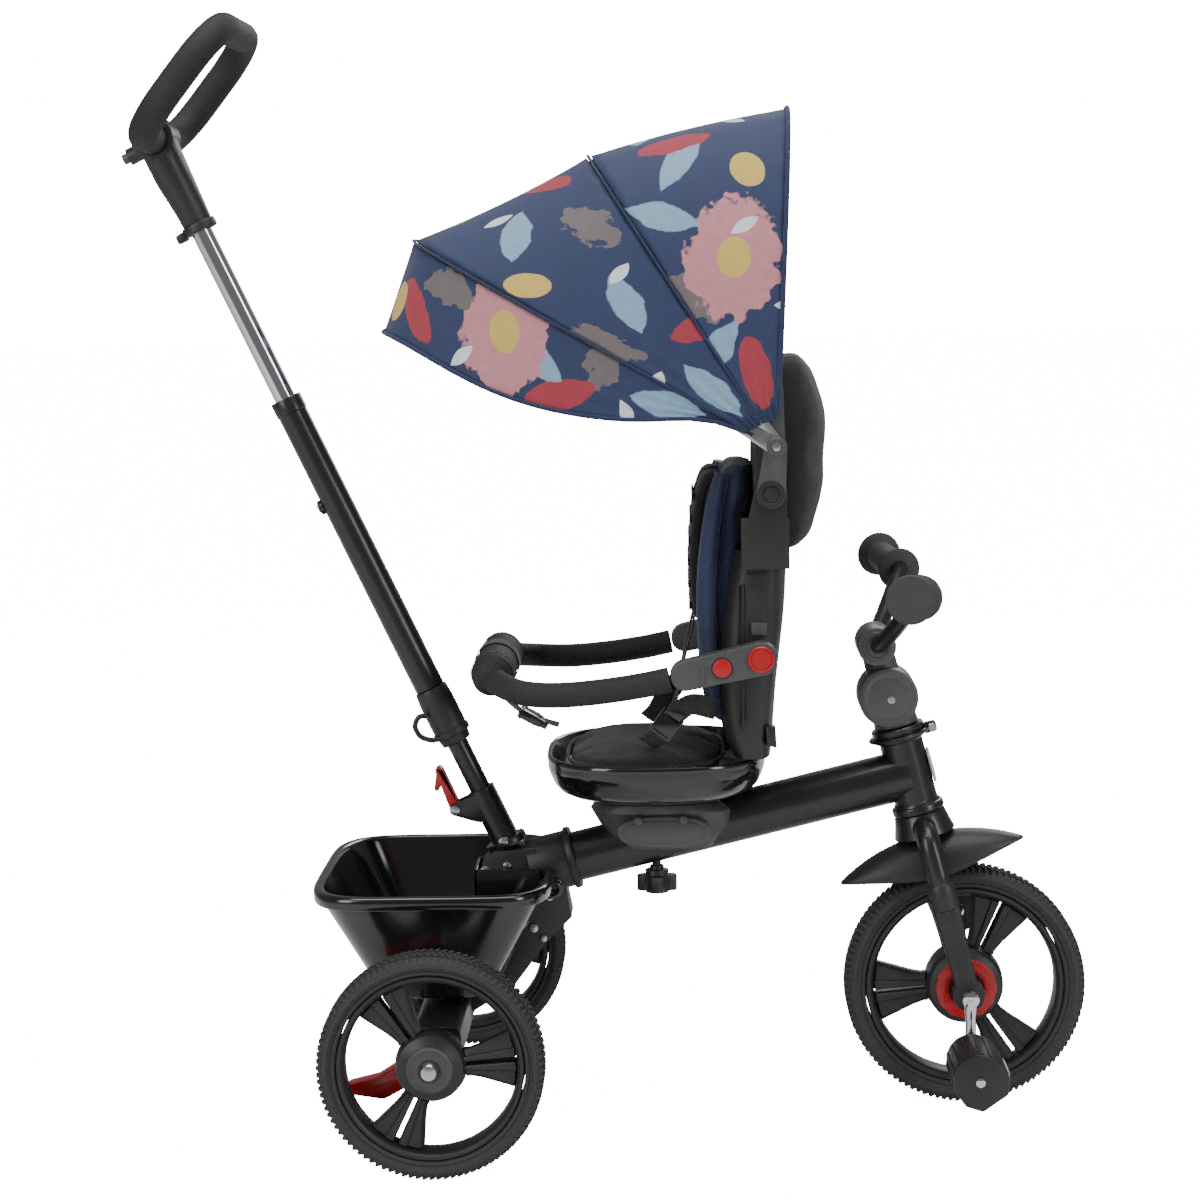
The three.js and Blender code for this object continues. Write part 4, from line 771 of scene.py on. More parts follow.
arch = swept(smooth_path([*leg_path(-1), (0, 0, 159.3), *leg_path(1)[::-1]], 8), 11, 40)
together(arch, turned([(0, 148.3), (28.4, 148.3), (29, 149.2), (26.5, 158), (24, 169), (23, 170.3),
                       (0, 170.3)], Matrix(), 56),
         turned([(0, 160), (11, 160), (11, 255), (0, 255)], Matrix(), 32))
arch.transform(steer)
show("fork_arch", arch, enamel, "satin_metal", "fork", "fork")
legs = bmesh.new()
for sign in (-1, 1):
    rings = []
    y = sign * 47.5
    body = bmesh.new()
    for z, wide, deep in ((-2, 10.5, 8.6), (14, 10.6, 8.8), (40, 10.8, 9.0), (66, 12.4, 10.4),
                          (84, 12.8, 10.8), (88, 12.0, 10)):
        ring = []
        for k in range(28):
            a = 2 * math.pi * k / 28
            px = math.copysign(abs(math.cos(a)) ** 0.5, math.cos(a)) * wide
            py = math.copysign(abs(math.sin(a)) ** 0.5, math.sin(a)) * deep
            if z < 60 and abs(abs(px) - wide * 0.42) < wide * 0.16:
                py *= 0.84
            ring.append(body.verts.new((px * MM, (y + py) * MM, z * MM)))
        rings.append(ring)
    for one, two in zip(rings, rings[1:]):
        for k in range(28):
            body.faces.new((one[k], one[(k + 1) % 28], two[(k + 1) % 28], two[k]))
    body.faces.new(rings[0])
    body.faces.new(rings[-1])
    bmesh.ops.recalc_face_normals(body, faces=body.faces)
    foot = drum(15, 8.4, at(0, y, 0), 1.6)
    knob = drum(12.2, 9.6, at(0, y, 0), 1.0)
    sleeve = turned([(12.4, 84), (13.6, 85), (13.8, 100), (13.2, 107), (11.6, 109), (11, 109), (11, 84)],
                    at(0, y, 0), 40, closed=True)
    screw = turned([(0, 9.4), (2.4, 9.4), (4.4, 8.9), (4.6, 8), (0, 8)],
                   at(0, y, 58) @ (along_y if sign > 0 else along_y.inverted()), 20)
    together(legs, body, foot, knob, sleeve, screw)
legs.transform(steer)
show("fork_legs", legs, black_plastic, "satin_metal", "fork", sharp=40)

guard = bmesh.new()
lines = []
for i in range(49):
    t = -1 + i / 24
    full = math.sqrt(1 - 0.96 * t * t)
    around = math.radians(t * 36)
    line = []
    for k in range(25):
        across = (k - 12) / 12 * math.pi / 2
        crease = 0.9 * math.exp(-(across / 0.10) ** 2)
        reach = 147.8 + 4 * t * t - 38 * full ** 2 * (1 - math.cos(across)) + crease * full - 0.4
        line.append(guard.verts.new((reach * math.sin(around) * MM, 31 * full * math.sin(across) * MM,
                                     reach * math.cos(around) * MM)))
    lines.append(line)
for one, two in zip(lines, lines[1:]):
    for k in range(24):
        guard.faces.new((one[k], one[k + 1], two[k + 1], two[k]))
bmesh.ops.recalc_face_normals(guard, faces=guard.faces)
guard.transform(steer)
leaf = show("mudguard_leaf", guard, black_plastic, "satin_metal", "fork", "mudguard", sharp=60)
wall = leaf.modifiers.new("wall", "SOLIDIFY")
wall.thickness = 2.0 * MM
wall.offset = -1

clamp_z = 335.8
half_bar = [(3, 30, 2), (19, 64, 18), (37, 96, 38), (45, 118, 47), (39, 157, 52.2), (33, 196, 57.5)]
bar_path = ([(x, -y, clamp_z + z) for x, y, z in half_bar[::-1]] + [(0, 0, clamp_z)]
            + [(x, y, clamp_z + z) for x, y, z in half_bar])
bar = swept(smooth_path(bar_path, 8), 8, 32)
bar.transform(steer)
show("handlebar_tube", bar, enamel, "satin_metal", "fork", "handlebar")

grip_rubber = finish("ribbed grip rubber", (0.030, 0.030, 0.032), (0.045, 0.045, 0.047), 0.6, spread=0.1,
                     grain=1500,
                     depth=0.0002)
for side, sign in (("right", -1), ("left", 1)):
    inner, outer = Vector((45, sign * 118, clamp_z + 47)), Vector((33, sign * 196, clamp_z + 57.5))
    profile = [(8.2, 0.4), (19.4, 0.4), (20.6, 1.4), (20.8, 3), (19.6, 4.4), (15, 6.4)]
    for k in range(12):
        z = 9 + k * 5.6
        profile += [(13.2, z), (14.0, z + 1.0), (14.0, z + 3.4), (13.2, z + 4.4)]
    profile += [(14, 77.6), (19.6, 79.4), (21.6, 80.6), (21.8, 82.6), (20.6, 83.8), (6, 84), (3, 83.6),
                (0, 83.4)]
    shape = turned(profile, Matrix(), 56)
    shape.transform((outer - inner).to_track_quat("Z", "Y").to_matrix().to_4x4())
    shape.transform(Matrix.Translation(inner * MM))
    shape.transform(steer)
    show(f"grip_{side}_moulding", shape, grip_rubber, "grip_rubber", "fork", f"grip_{side}", sharp=40)

stem = drum(28, 24, at(-1.5, 0, 285.8), 3.0, 72)
together(stem, turned([(11.6, 255.8), (20, 255.8), (21, 257), (20.6, 262), (18, 272), (0, 276)], Matrix(),
                      48),
         turned([(0, 290), (17, 290), (15.4, 312), (15.2, 330), (0, 334)], Matrix(), 40),
         drum(18, 27, at(0, 0, clamp_z), 2.0, 56))
for sign in (-1, 1):
    way = along_y if sign > 0 else along_y.inverted()
    together(stem,
             turned([(19, 23.8), (21, 24.6), (24.6, 24.6), (25.2, 23.8)], at(-1.5, 0, 285.8) @ way, 56,
                    closed=True),
             turned([(9.4, 26.8), (10.4, 27.8), (13.4, 27.8), (14.2, 26.8)], at(0, 0, clamp_z) @ way, 48,
                    closed=True))
stem.transform(steer)
show("stem_moulding", stem, grey_plastic, "grey_plastic", "fork", "stem", sharp=32)
screws = bmesh.new()
for sign in (-1, 1):
    way = along_y if sign > 0 else along_y.inverted()
    together(screws, turned([(0, 24.4), (1.4, 24.6), (1.8, 25.4), (3.6, 25.2), (4.2, 24.2), (4.2, 23.6),
                             (0, 23.6)],
                            at(0.5, 0, 284) @ way, 20))
screws.transform(steer)
show("stem_screws", screws, zinc, "steel", "fork")

# ---- Crank, pedals and clutch ring -----------------------------------------------------------------
# A chromed one-piece crank with round knuckles, D-shaped moulded pedals and a red clutch ring.
arms = drum(6, 67.5, at(0, 0, 114.3), 0.6, 32)
for sign in (-1, 1):
    y = sign * 67.5
    foot = (0, y, 114.3 + sign * 54)
    arm = swept(smooth_path([(0, y, 114.3), (0, y, 114.3 + sign * 20), (0, y, 114.3 + sign * 40), foot], 5),
                [7.4] * 4 + [6.4] * 6 + [5.6] * 6, 24, flatten=0.8)
    together(arms, arm, drum(8, 6, at(0, y, 114.3), 1.5, 32), drum(7.5, 6, at(*foot), 1.5, 32),
             drum(4.5, 45, at(0, sign * 112, foot[2]), 0.8, 24))
show("crank_chromed", arms, chrome_metal, "chrome", "crank", "crank")
for side, sign in (("right", -1), ("left", 1)):
    outline = [(-24, -12), (-24, 0)]
    outline += [(24 * math.cos(math.radians(180 - 10 * k)),
                 24 * math.sin(math.radians(180 - 10 * k))) for k in range(1, 18)]
    outline += [(24, 0), (24, -12), (14, -25), (-14, -25)]
    turn_pedal = at(0, 0, 114.3 + sign * 54) @ Matrix.Rotation(math.radians(-35), 4, "Y")
    block = slab(outline, sign * 76, sign * 152.6, 1.6, 2)
    for k in range(7):
        angle = math.radians(-60 + 20 * k)
        bar = Matrix.Diagonal((3.6 * MM, 66 * MM, 1.6 * MM, 1))
        place = Matrix.Rotation(angle, 4, "Y") @ at(0, sign * 114.3, 24.0) @ bar
        bmesh.ops.create_cube(block, size=1, matrix=place)
    block.transform(turn_pedal)
    show(f"pedal_{side}_moulding", block, rim_plastic, "black_plastic", f"pedal_{side}", f"pedal_{side}",
         sharp=30)
    # A thin pale strip along each pedal's chamfered lower edge and side is a painted highlight, a glint drawn
    # in the badge's pale finish.
    patch = slab([(16.5, -24.4), (25.2, -13.5), (25.2, -9), (24.6, -9), (24.4, -13), (16, -24)], sign * 100,
                 sign * 136, 0)
    patch.transform(turn_pedal)
    show(f"pedal_{side}_painted_glint", patch, badge_and_glint_paint, "steel", f"pedal_{side}")
refined("clutch_ring", red_plastic, "red_plastic", "clutch", 0.8)

# ---- Seat pan, swivel and knob -----------------------------------------------------------------
# A polished moulded pan with a rolled rim on a grey swivel base. The pan is lofted through rounded
# oblong rings, its hand knob is refined, its plate is turned, and an oval grey cover sits on each side.


def oblong(x, z, half_length, half_width, power=3.0, count=96):
    """A level rounded oblong ring of points, in mm."""
    points = []
    for k in range(count):
        a = 2 * math.pi * k / count
        c, s = math.cos(a), math.sin(a)
        points.append((x + math.copysign(abs(c) ** (2 / power), c) * half_length,
                       math.copysign(abs(s) ** (2 / power), s) * half_width, z))
    return points


def skin(rings, caps=(True, True)):
    """A body through rings of equally many points, in mm, closed at its ends where caps says so."""
    bm = bmesh.new()
    made_rings = [[bm.verts.new(Vector(p) * MM) for p in ring] for ring in rings]
    for one, two in zip(made_rings, made_rings[1:]):
        for k in range(len(one)):
            bm.faces.new((one[k], one[(k + 1) % len(one)], two[(k + 1) % len(one)], two[k]))
    for wanted, ring in zip(caps, (made_rings[0], made_rings[-1])):
        if wanted:
            bmesh.ops.triangle_fill(bm,
                                    edges=[bm.edges.get((ring[k], ring[k - 1])) for k in range(len(ring))],
                                    use_beauty=True, use_dissolve=False)
    bmesh.ops.recalc_face_normals(bm, faces=bm.faces)
    return bm


def eased(rings, between=3):
    """Rings with smooth in-between rings added, so that the body is curved from one to the next."""
    result = []
    columns = [smooth_path(column, between) for column in zip(*rings)]
    for row in zip(*columns):
        result.append(list(row))
    return result


x, low = 1.5, 5.6
outside = [oblong(x, low, 64.5, 70, 2.6), oblong(x, low + 10, 91.5, 102, 2.7), oblong(x, low + 28, 101.2,
                                                                                      117.6, 2.8),
           oblong(x, low + 37, 101.6, 119.4, 2.8)]
rim = [oblong(x, low + 37.6, 102.4, 121.4, 2.8), oblong(x, low + 40, 102.5, 122, 2.8),
       oblong(x, low + 43, 102.2, 121.8, 2.8), oblong(x, low + 44, 101, 120.6, 2.8), oblong(x, low + 43.8,
                                                                                            99, 118.4, 2.8),
       oblong(x, low + 42.4, 97.6, 117, 2.8)]
inside = [oblong(x, low + 28, 95.6, 112, 2.8), oblong(x, low + 17, 86.5, 98, 2.7)]
pan = skin(eased(outside) + rim + inside)
pan.transform(seat_place)
show("seat_pan_moulding", pan, gloss_plastic, "gloss_plastic", "seat", "seat_pan", sharp=50)
refined("seat_knob", black_plastic, "black_plastic", "knob", 1.2)
plate = turned([(0, 0.3), (39.2, 0.3), (40, 1), (40, 4.6), (39.2, 5.3), (0, 5.3)], seat_place, 64)
show("swivel_plate_finished", plate, zinc, "steel", "seat", "swivel_plate")
covers = bmesh.new()
for sign in (-1, 1):
    oval = [(44 * math.copysign(abs(math.cos(a)) ** 0.8, math.cos(a)),
             15 * math.copysign(abs(math.sin(a)) ** 0.8, math.sin(a)))
            for a in (2 * math.pi * k / 48 for k in range(48))]
    base = slab([(-282 + u, 272 + v) for u, v in oval], sign * 41, sign * 49.5, 1.8, 3)
    face = slab([(-282 + u * 0.86, 272 + v * 0.72) for u, v in oval], sign * 47, sign * 50.6, 0.8, 2)
    together(covers, base, face)
    for u, v in ((-24, 11), (18, 11.6)):
        together(covers, drum(4.2, 3, at(-282 + u, sign * 49, 272 + v), 0.8, 24))
show("seat_base_covers", covers, grey_plastic, "grey_plastic", "frame", sharp=30)

# ---- Cushions: seat pad, liner, hood and harness pads -----------------------------------------------
# Stuffed black and navy fabric. The pad, liner and hood are lofted slightly small, then swollen by
# a pressure cloth simulation whose movement is capped. The bolsters, harness pads, welts and straps
# are swept or cut directly.


def fabric(label, color, patch_color, weave, depth=0.00018, rough=0.82):
    """Woven cloth: crossing threads a fraction of a millimetre apart, and faint worn patches."""
    look, tree, shader, where = bare_finish(label)
    patchy = noise_of(tree, where, 26, 4)
    tree.links.new(blend_colors(tree, patchy, color, patch_color), shader.inputs["Base Color"])
    threads = []
    for way in ("X", "Z"):
        wave = tree.nodes.new("ShaderNodeTexWave")
        wave.bands_direction = way
        wave.inputs["Scale"].default_value = weave
        wave.inputs["Distortion"].default_value = 1.2
        wave.inputs["Detail"].default_value = 1
        tree.links.new(where, wave.inputs["Vector"])
        threads.append(wave.outputs["Fac"])
    bump(tree, shader, calc(tree, "ADD", threads[0], threads[1]), depth)
    tree.links.new(calc(tree, "ADD", calc(tree, "MULTIPLY", patchy, 0.16), rough - 0.08),
                   shader.inputs["Roughness"])
    shader.inputs["Sheen Weight"].default_value = 0.25
    shader.inputs["Sheen Roughness"].default_value = 0.4
    return look


black_cloth = fabric("black woven cloth", (0.008, 0.008, 0.009), (0.017, 0.017, 0.018), 520)
navy_sheen = fabric("navy lining", (0.008, 0.016, 0.060), (0.016, 0.028, 0.090), 620, 0.0001, 0.45)
webbing = fabric("black webbing", (0.011, 0.011, 0.012), (0.022, 0.022, 0.023), 240, 0.0006, 0.7)


def puffed(item, voxel, cap):
    """Swells a closed soft shape with a short pressure simulation; no point moves more than cap."""
    remesh = item.modifiers.new("even faces", "REMESH")
    remesh.mode = "VOXEL"
    remesh.voxel_size = voxel * MM
    bpy.context.view_layer.update()
    even = bpy.data.meshes.new_from_object(item.evaluated_get(bpy.context.evaluated_depsgraph_get()))
    item.modifiers.clear()
    look = item.data.materials[0]
    item.data = even
    even.materials.clear()
    even.materials.append(look)
    even.shade_smooth()
    start = [v.co.copy() for v in even.vertices]
    cloth = item.modifiers.new("stuffing", "CLOTH")
    cloth.settings.use_pressure = True
    cloth.settings.uniform_pressure_force = 4
    cloth.settings.effector_weights.gravity = 0
    cloth.settings.quality = 5
    cloth.point_cache.frame_start = 1
    cloth.point_cache.frame_end = 20
    for step in range(1, 21):
        scene.frame_set(step)
    grown = bpy.data.meshes.new_from_object(item.evaluated_get(bpy.context.evaluated_depsgraph_get()))
    swollen = [v.co.copy() for v in grown.vertices]
    item.modifiers.clear()
    for vert, was, now in zip(even.vertices, start, swollen):
        move = now - was
        if move.length > cap * MM:
            move = move.normalized() * cap * MM
        vert.co = was + move
    scene.frame_set(1)
    finer = item.modifiers.new("rounding", "SUBSURF")
    finer.levels = finer.render_levels = 1


middle, half, wide = -8.5, 74.5, 122
pad = skin(eased([oblong(middle + 4, 23.4, half - 19, wide - 35, 3), oblong(middle, 36, half - 5, wide - 22,
                                                                            3),
                  oblong(middle, 48, half - 5, wide - 20, 3), oblong(middle, 55, half - 11, wide - 27, 3),
                  oblong(middle, 58.6, half - 28, wide - 50, 3)], 2))
pad.transform(seat_place)
cushion = show("seat_pad_cushion", pad, black_cloth, "black_cloth", "seat", "seat_pad", sharp=180)
puffed(cushion, 5, 4)
welt = swept([Vector(p) for p in oblong(middle, 47, half - 1.4, wide - 16.2, 3, 72)], 2.0, 10, closed=True,
             up=(0, 0, 1))
welt.transform(seat_place)
show("seat_pad_welt", welt, webbing, "black_cloth", "seat", sharp=180)


def back_ring(z, front, rear, half_width, inset=0.0, count=96):
    middle_x, half_x = (front + rear) / 2, (rear - front) / 2 - inset
    return oblong(middle_x, z, half_x, half_width - inset, 4, count)


bottom, shell_top = 52.6, 243.6
levels = [(0, 72, 108, -12), (0.1, 64, 110, -5), (0.35, 58, 114, 0), (0.7, 62, 122, 0), (1, 74, 125, 0)]
shell = skin(eased([back_ring(bottom + share * 191, front, rear, 112 + wide) for share, front, rear,
                    wide in levels], 5)
             + [back_ring(shell_top, 75, 124, 111, 0), back_ring(shell_top, 77, 122, 108, 0)]
             + [back_ring(shell_top - 4, 77.5, 121.4, 107.6, 0), back_ring(shell_top - 60, 70, 117, 107.6,
                                                                           0)])
for sign in (-1, 1):
    together(shell, turned([(0, 0), (12, 0), (12, 11.4), (0, 11.4)],
                           at(98, sign * 109, 150) @ (along_y if sign > 0 else along_y.inverted()), 32))
    panel = slab([(88, 176), (104, 178), (105, 226), (84, 224)], sign * 111.4, sign * 113.2, 0.8, 2)
    ribs = bmesh.new()
    for k in range(3):
        together(ribs, slab([(76 + 4.2 * k, 78 + 6 * k), (78.4 + 4.2 * k, 78 + 6 * k), (80 + 4.2 * k, 214),
                             (77.6 + 4.2 * k, 214)],
                            sign * 111, sign * 113.1, 0.4, 1))
    clip = slab([(90, 168), (104, 168), (104, 180), (90, 180)], sign * 111, sign * 115, 1.2, 2)
    stub = slab([(103, 66), (112, 64), (111, 84), (102, 84)], sign * 96, sign * 108, 1.5, 2)
    together(shell, panel, ribs, stub)
    clip.transform(seat_place)
    show(f"shell_clip_{'left' if sign > 0 else 'right'}", clip, grey_plastic, "grey_plastic", "backrest")
shell.transform(seat_place)
show("backrest_shell_moulding", shell, black_plastic, "black_plastic", "backrest", "backrest_shell", sharp=40)

hood_levels = [(244.2, 101, 131, -2), (255, 100, 144, -2), (268.6, 99, 148.5, -1), (303.6, 97, 156, -1),
               (345, 98, 158, -3),
               (373.6, 99, 158, -8), (401.6, 109, 148, -24), (414, 118, 143, -42), (419, 124, 140, -58)]
hood = skin(eased([back_ring(z, front, rear, 112 + wide) for z, front, rear, wide in hood_levels], 2))
for vert in hood.verts:
    droop = math.sin(vert.co.z / MM / 9.0) * math.exp(-((vert.co.x / MM - 150) / 30) ** 2) * 1.1
    vert.co.x += droop * MM
hood.transform(seat_place)
cover = show("back_hood_cover", hood, black_cloth, "black_cloth", "backrest", "back_hood", sharp=180)
puffed(cover, 6, 3)
seam = swept([Vector(p) for p in [(128, y, 262 + 150 * (1 - (abs(y) / 108) ** 5)) for y in range(-106, 107,
                                                                                                 6)]], 1.4, 8)
seam.transform(seat_place)
show("hood_seam_piping", seam, webbing, "black_cloth", "backrest", sharp=180)

rows = [(80, 60, 74, -20), (92, 53, 79, -7), (172, 51, 80, -4), (252, 56, 84, -6), (306, 63, 90, -12),
        (322, 72, 98, -34)]
lining = skin(eased([back_ring(z, front, rear, 95 + wide) for z, front, rear, wide in rows], 3))
for vert in lining.verts:
    fold = 1.6 * math.sin(vert.co.z / MM / 6.5) * (abs(vert.co.y / MM) / 95) ** 2
    vert.co.x += fold * MM
lining.transform(seat_place)
liner = show("seat_liner_cushion", lining, navy_sheen, "printed_cloth", "backrest", "seat_liner", sharp=180)
puffed(liner, 5, 4)
for side, sign in (("right", -1), ("left", 1)):
    roll = swept(smooth_path([(58, sign * 82, 92), (52, sign * 88, 130), (50, sign * 89, 200),
                              (55, sign * 88, 262),
                              (66, sign * 78, 312)], 8),
                 [9 + 3 * math.sin(math.pi * k / 32) for k in range(33)], 20, flatten=0.75)
    roll.transform(seat_place)
    bolster = show(f"side_bolster_{side}", roll, navy_sheen, "printed_cloth", "backrest", sharp=180)
    strip = skin(eased([[(x0 + dx, sign * 38 + dy, z) for dx, dy in
                         [(6 * math.copysign(abs(math.cos(a)) ** 0.7, math.cos(a)),
                           24 * math.copysign(abs(math.sin(a)) ** 0.5, math.sin(a))) for a in
                          (2 * math.pi * k / 40 for k in range(40))]]
                        for x0, z in ((46, 178), (42, 186), (40, 230), (44, 280), (52, 306), (58, 312))], 3))
    strip.transform(seat_place)
    pad_item = show(f"harness_pad_{side}", strip, black_cloth, "black_cloth", "backrest", sharp=180)
    straps = bmesh.new()
    for k in range(6):
        z = 186 + 20 * k
        x0 = 34.6 + 0.0009 * (z - 215) ** 2
        together(straps, slab([(x0 - 1.2, z), (x0 + 0.8, z), (x0 + 1.1, z + 7), (x0 - 0.9, z + 7)],
                              sign * 38 - 22, sign * 38 + 22, 0.4, 1))
    together(straps, swept(smooth_path([(40, sign * 38, 180), (30, sign * 36, 140), (22, sign * 30, 100),
                                        (14, sign * 24, 76)], 8),
                           10, 16, flatten=0.12))
    straps.transform(seat_place)
    show(f"harness_webbing_{side}", straps, webbing, "black_cloth", "backrest", sharp=30)

# ---- Safety bar, its brackets and straps ---------------------------------------------------------
# A padded bar on two satin grey brackets with red push buttons and hub caps. The foam arms and the
# bumper are swept in one run, and the waist and crotch straps are flat webbing with moulded buckles.
for sign in (-1, 1):
    side = "left" if sign > 0 else "right"
    outline = []
    spread = math.acos(1.5 / math.hypot(68, 14.3))
    heading = math.atan2(-14.3, -68)
    for k in range(25):
        a = heading + spread + (2 * math.pi - 2 * spread) * k / 24
        outline.append((15 * math.cos(a), 15 * math.sin(a)))
    for k in range(25):
        a = heading - spread + 2 * spread * k / 24
        outline.append((-68 + 13.5 * math.cos(a), -14.3 + 13.5 * math.sin(a)))
    bracket = slab(outline, sign * 121.2, sign * 140.9, 1.6, 3)
    collar = swept([Vector((-35 + 10.4 * math.cos(a), sign * 140.8, -7.35 + 10.4 * math.sin(a)))
                    for a in (2 * math.pi * k / 40 for k in range(40))], 1.0, 8, closed=True)
    grooves = bmesh.new()
    for u in (-50, -55):
        together(grooves, slab([(u - 0.8, 6.4 + u * 0.21), (u + 0.8, 6.4 + u * 0.21),
                                (u + 0.8, -14 + u * 0.21),
                                (u - 0.8, -14 + u * 0.21)], sign * 140.2, sign * 141.6, 0.3, 1))
    together(bracket, collar, grooves)
    bracket.transform(bar_place)
    show(f"bar_bracket_{side}_moulding", bracket, grey_plastic, "grey_plastic", "bar",
         f"bar_bracket_{side}", sharp=30)
    button = drum(8.4, 5.0, at(-35, sign * 139.5, -7.35), 1.4, 40)
    button.transform(bar_place)
    show(f"bar_button_{side}_moulding", button, red_plastic, "red_plastic", f"bar_button_{side}",
         f"bar_button_{side}", sharp=30)
    way = along_y if sign > 0 else along_y.inverted()
    cap = turned([(0, 144.6), (8.6, 144.4), (9.2, 143.8), (9.8, 144.4), (11, 144.3), (11.9, 143.4),
                  (12, 141), (0, 141)],
                 way, 48)
    cap.transform(bar_place)
    show(f"bar_hub_cap_{side}", cap, red_plastic, "red_plastic", "bar", sharp=24)

half_arm = [(-82, 131, -18.4), (-109, 131, -23.6), (-145, 131, -28.5), (-181, 131, -31), (-213, 127, -29.5),
            (-235, 104, -25), (-244, 84, -21), (-245, 74, -19)]
arm = smooth_path([(x, -y, z) for x, y, z in half_arm], 8)
bumper = [Vector((-245, y, -19)) for y in range(-66, 67, 6)]
path = arm + bumper + [Vector((p.x, -p.y, p.z)) for p in arm[::-1]]
sizes = []
for spot in path:
    reach = abs(spot.y)
    near = 1 if reach < 71 else max(0.0, 1 - ((reach - 71) / 19.5) ** 2) if spot.x < -225 else 0.0
    sizes.append(11.4 + (19.8 - 11.4) * math.sqrt(max(near, 0.0)))
foam_bar = swept(path, sizes, 36)
foam_bar.transform(bar_place)
padded_bar = show("safety_bar_foam", foam_bar, foam_skin, "foam", "bar", "safety_bar", sharp=60)
seams = bmesh.new()
for y in (-70, 70):
    together(seams, turned([(19.9, -0.9), (20.4, 0), (19.9, 0.9)], at(-245, y, -19) @ along_y, 48,
                           closed=True))
seams.transform(bar_place)
show("bumper_seams", seams, webbing, "foam", "bar", sharp=60)

strap = swept(smooth_path([(-246, 0, -39), (-238, 0, -52), (-222, 0, -66), (-204, 0, -74), (-188, 0, -79)],
                          8), 14, 20, flatten=0.09)
loop_round = turned([(20.2, -14), (21.2, -13.6), (21.2, 13.6), (20.2, 14)], at(-245, 0, -19) @ along_y, 48,
                    closed=True)
together(strap, loop_round)
strap.transform(bar_place)
show("crotch_strap_webbing", strap, webbing, "black_cloth", "bar", "crotch_strap", sharp=40)


def buckle(where, length, width, thick):
    """A side-release buckle along local X: a frame, two prongs and a ridge for each strap."""
    def slice_of(x0, x1, z0, z1, thickness):
        piece = slab([(x0, z0), (x1, z0), (x1, z1), (x0, z1)], -thickness / 2, thickness / 2, 1.0, 2)
        piece.transform(Matrix.Rotation(math.radians(90), 4, "X"))
        return piece
    body = slice_of(-length / 2, length * 0.16, -width / 2, width / 2, thick)
    tongue = slice_of(length * 0.20, length / 2, -width * 0.38, width * 0.38, thick * 0.8)
    for sign in (-1, 1):
        together(body, slice_of(-length * 0.1, length * 0.3, sign * width * 0.42 - 2,
                                sign * width * 0.42 + 2, thick * 0.9))
    ridge = slice_of(-length * 0.45, -length * 0.38, -width * 0.4, width * 0.4, thick * 1.35)
    together(body, tongue, ridge)
    body.transform(where)
    return body


clasp = buckle(bar_place @ at(-212, 0, -72) @ Matrix.Rotation(math.radians(29), 4, "Y"), 30, 27, 9)
show("crotch_strap_buckle", clasp, gloss_plastic, "gloss_plastic", "bar", sharp=30)

for side, sign in (("right", -1), ("left", 1)):
    belt = swept(smooth_path([(58, sign * 92, 98), (36, sign * 99, 104), (22, sign * 101, 96),
                              (10, sign * 96, 82), (2, sign * 84, 70),
                              (-6, sign * 70, 64.5)], 8), 10, 16, flatten=0.12, up=(0.5, 0, 1))
    belt.transform(seat_place)
    show(f"waist_strap_{side}", belt, webbing, "black_cloth", "backrest", sharp=40)
    clasp = buckle(seat_place @ at(14, sign * 100.5, 88) @ Matrix.Rotation(math.radians(-52), 4, "Y")
                   @ Matrix.Rotation(math.radians(90), 4, "X"), 30, 22, 7)
    show(f"waist_buckle_{side}", clasp, gloss_plastic, "gloss_plastic", "backrest", sharp=30)

# ---- Canopy frame: link arms, bolts, bows and side blocks --------------------------------------------
# Grey moulded arms from the side blocks up to a bolt with a round boss and a cross screw, where the
# wire bows meet. Each bow shows as a slim piped seam under the cloth.
for sign in (-1, 1):
    side = "left" if sign > 0 else "right"
    refined(f"canopy_block_{side}", black_plastic, "black_plastic", "backrest", 1.2)
    way = along_y if sign > 0 else along_y.inverted()
    ring = turned([(0, 127.4), (6.6, 127.4), (7.2, 126.6), (8.4, 127.6), (11.4, 127.4), (12.4, 126.4),
                   (12.4, 125.2), (0, 125.2)],
                  at(-181, 0, 592) @ way, 48)
    show(f"canopy_pivot_ring_{side}", ring, black_plastic, "black_plastic", "canopy", sharp=24)
    boss = turned([(0, 139.5), (7.4, 139.3), (8.6, 138.2), (9.2, 134.6), (0, 134.6)], at(*bolt) @ way, 48)
    show(f"canopy_bolt_boss_{side}", boss, grey_plastic, "grey_plastic", "front_bow", sharp=30)
    screw = turned([(0, 140.9), (1.6, 140.8), (3.6, 140.3), (4.2, 139.4), (4.2, 138.6), (0, 138.6)],
                   at(*bolt) @ way, 24)
    show(f"canopy_bolt_screw_{side}", screw, zinc, "steel", "front_bow")
refined("canopy_frame", grey_plastic, "grey_plastic", "canopy", 0.5)
refined("middle_bow", zinc, "steel", "middle_bow", 0.4)
refined("front_bow", zinc, "steel", "front_bow", 0.4)


def bow_line(bow, half, inset, radius):
    spots = []
    first = math.asin((30 / bow[1]) ** 1.5)
    for k in range(81):
        t = first + (math.pi - 2 * first) * k / 80
        spots.append(on_bow(bow, t, half, inset) + Vector(bolt))
    return swept(spots, radius, 10)


binding = fabric("navy binding tape", (0.010, 0.020, 0.070), (0.020, 0.034, 0.100), 300)
for name, bow, radius, look, body in (
    ("rear_edge_binding", rear_bow, 2.2, binding, "canopy"), ("middle_seam_piping", middle_bow, 1.3,
                                                              binding, "middle_bow"),
    ("front_seam_piping", front_bow, 1.3, binding, "front_bow"), ("hem_binding", peak_hem, 2.0, binding,
                                                                  "front_bow"),
):
    show(name, bow_line(bow, 137.9, 0.0, radius), look, "printed_cloth", body, sharp=180)

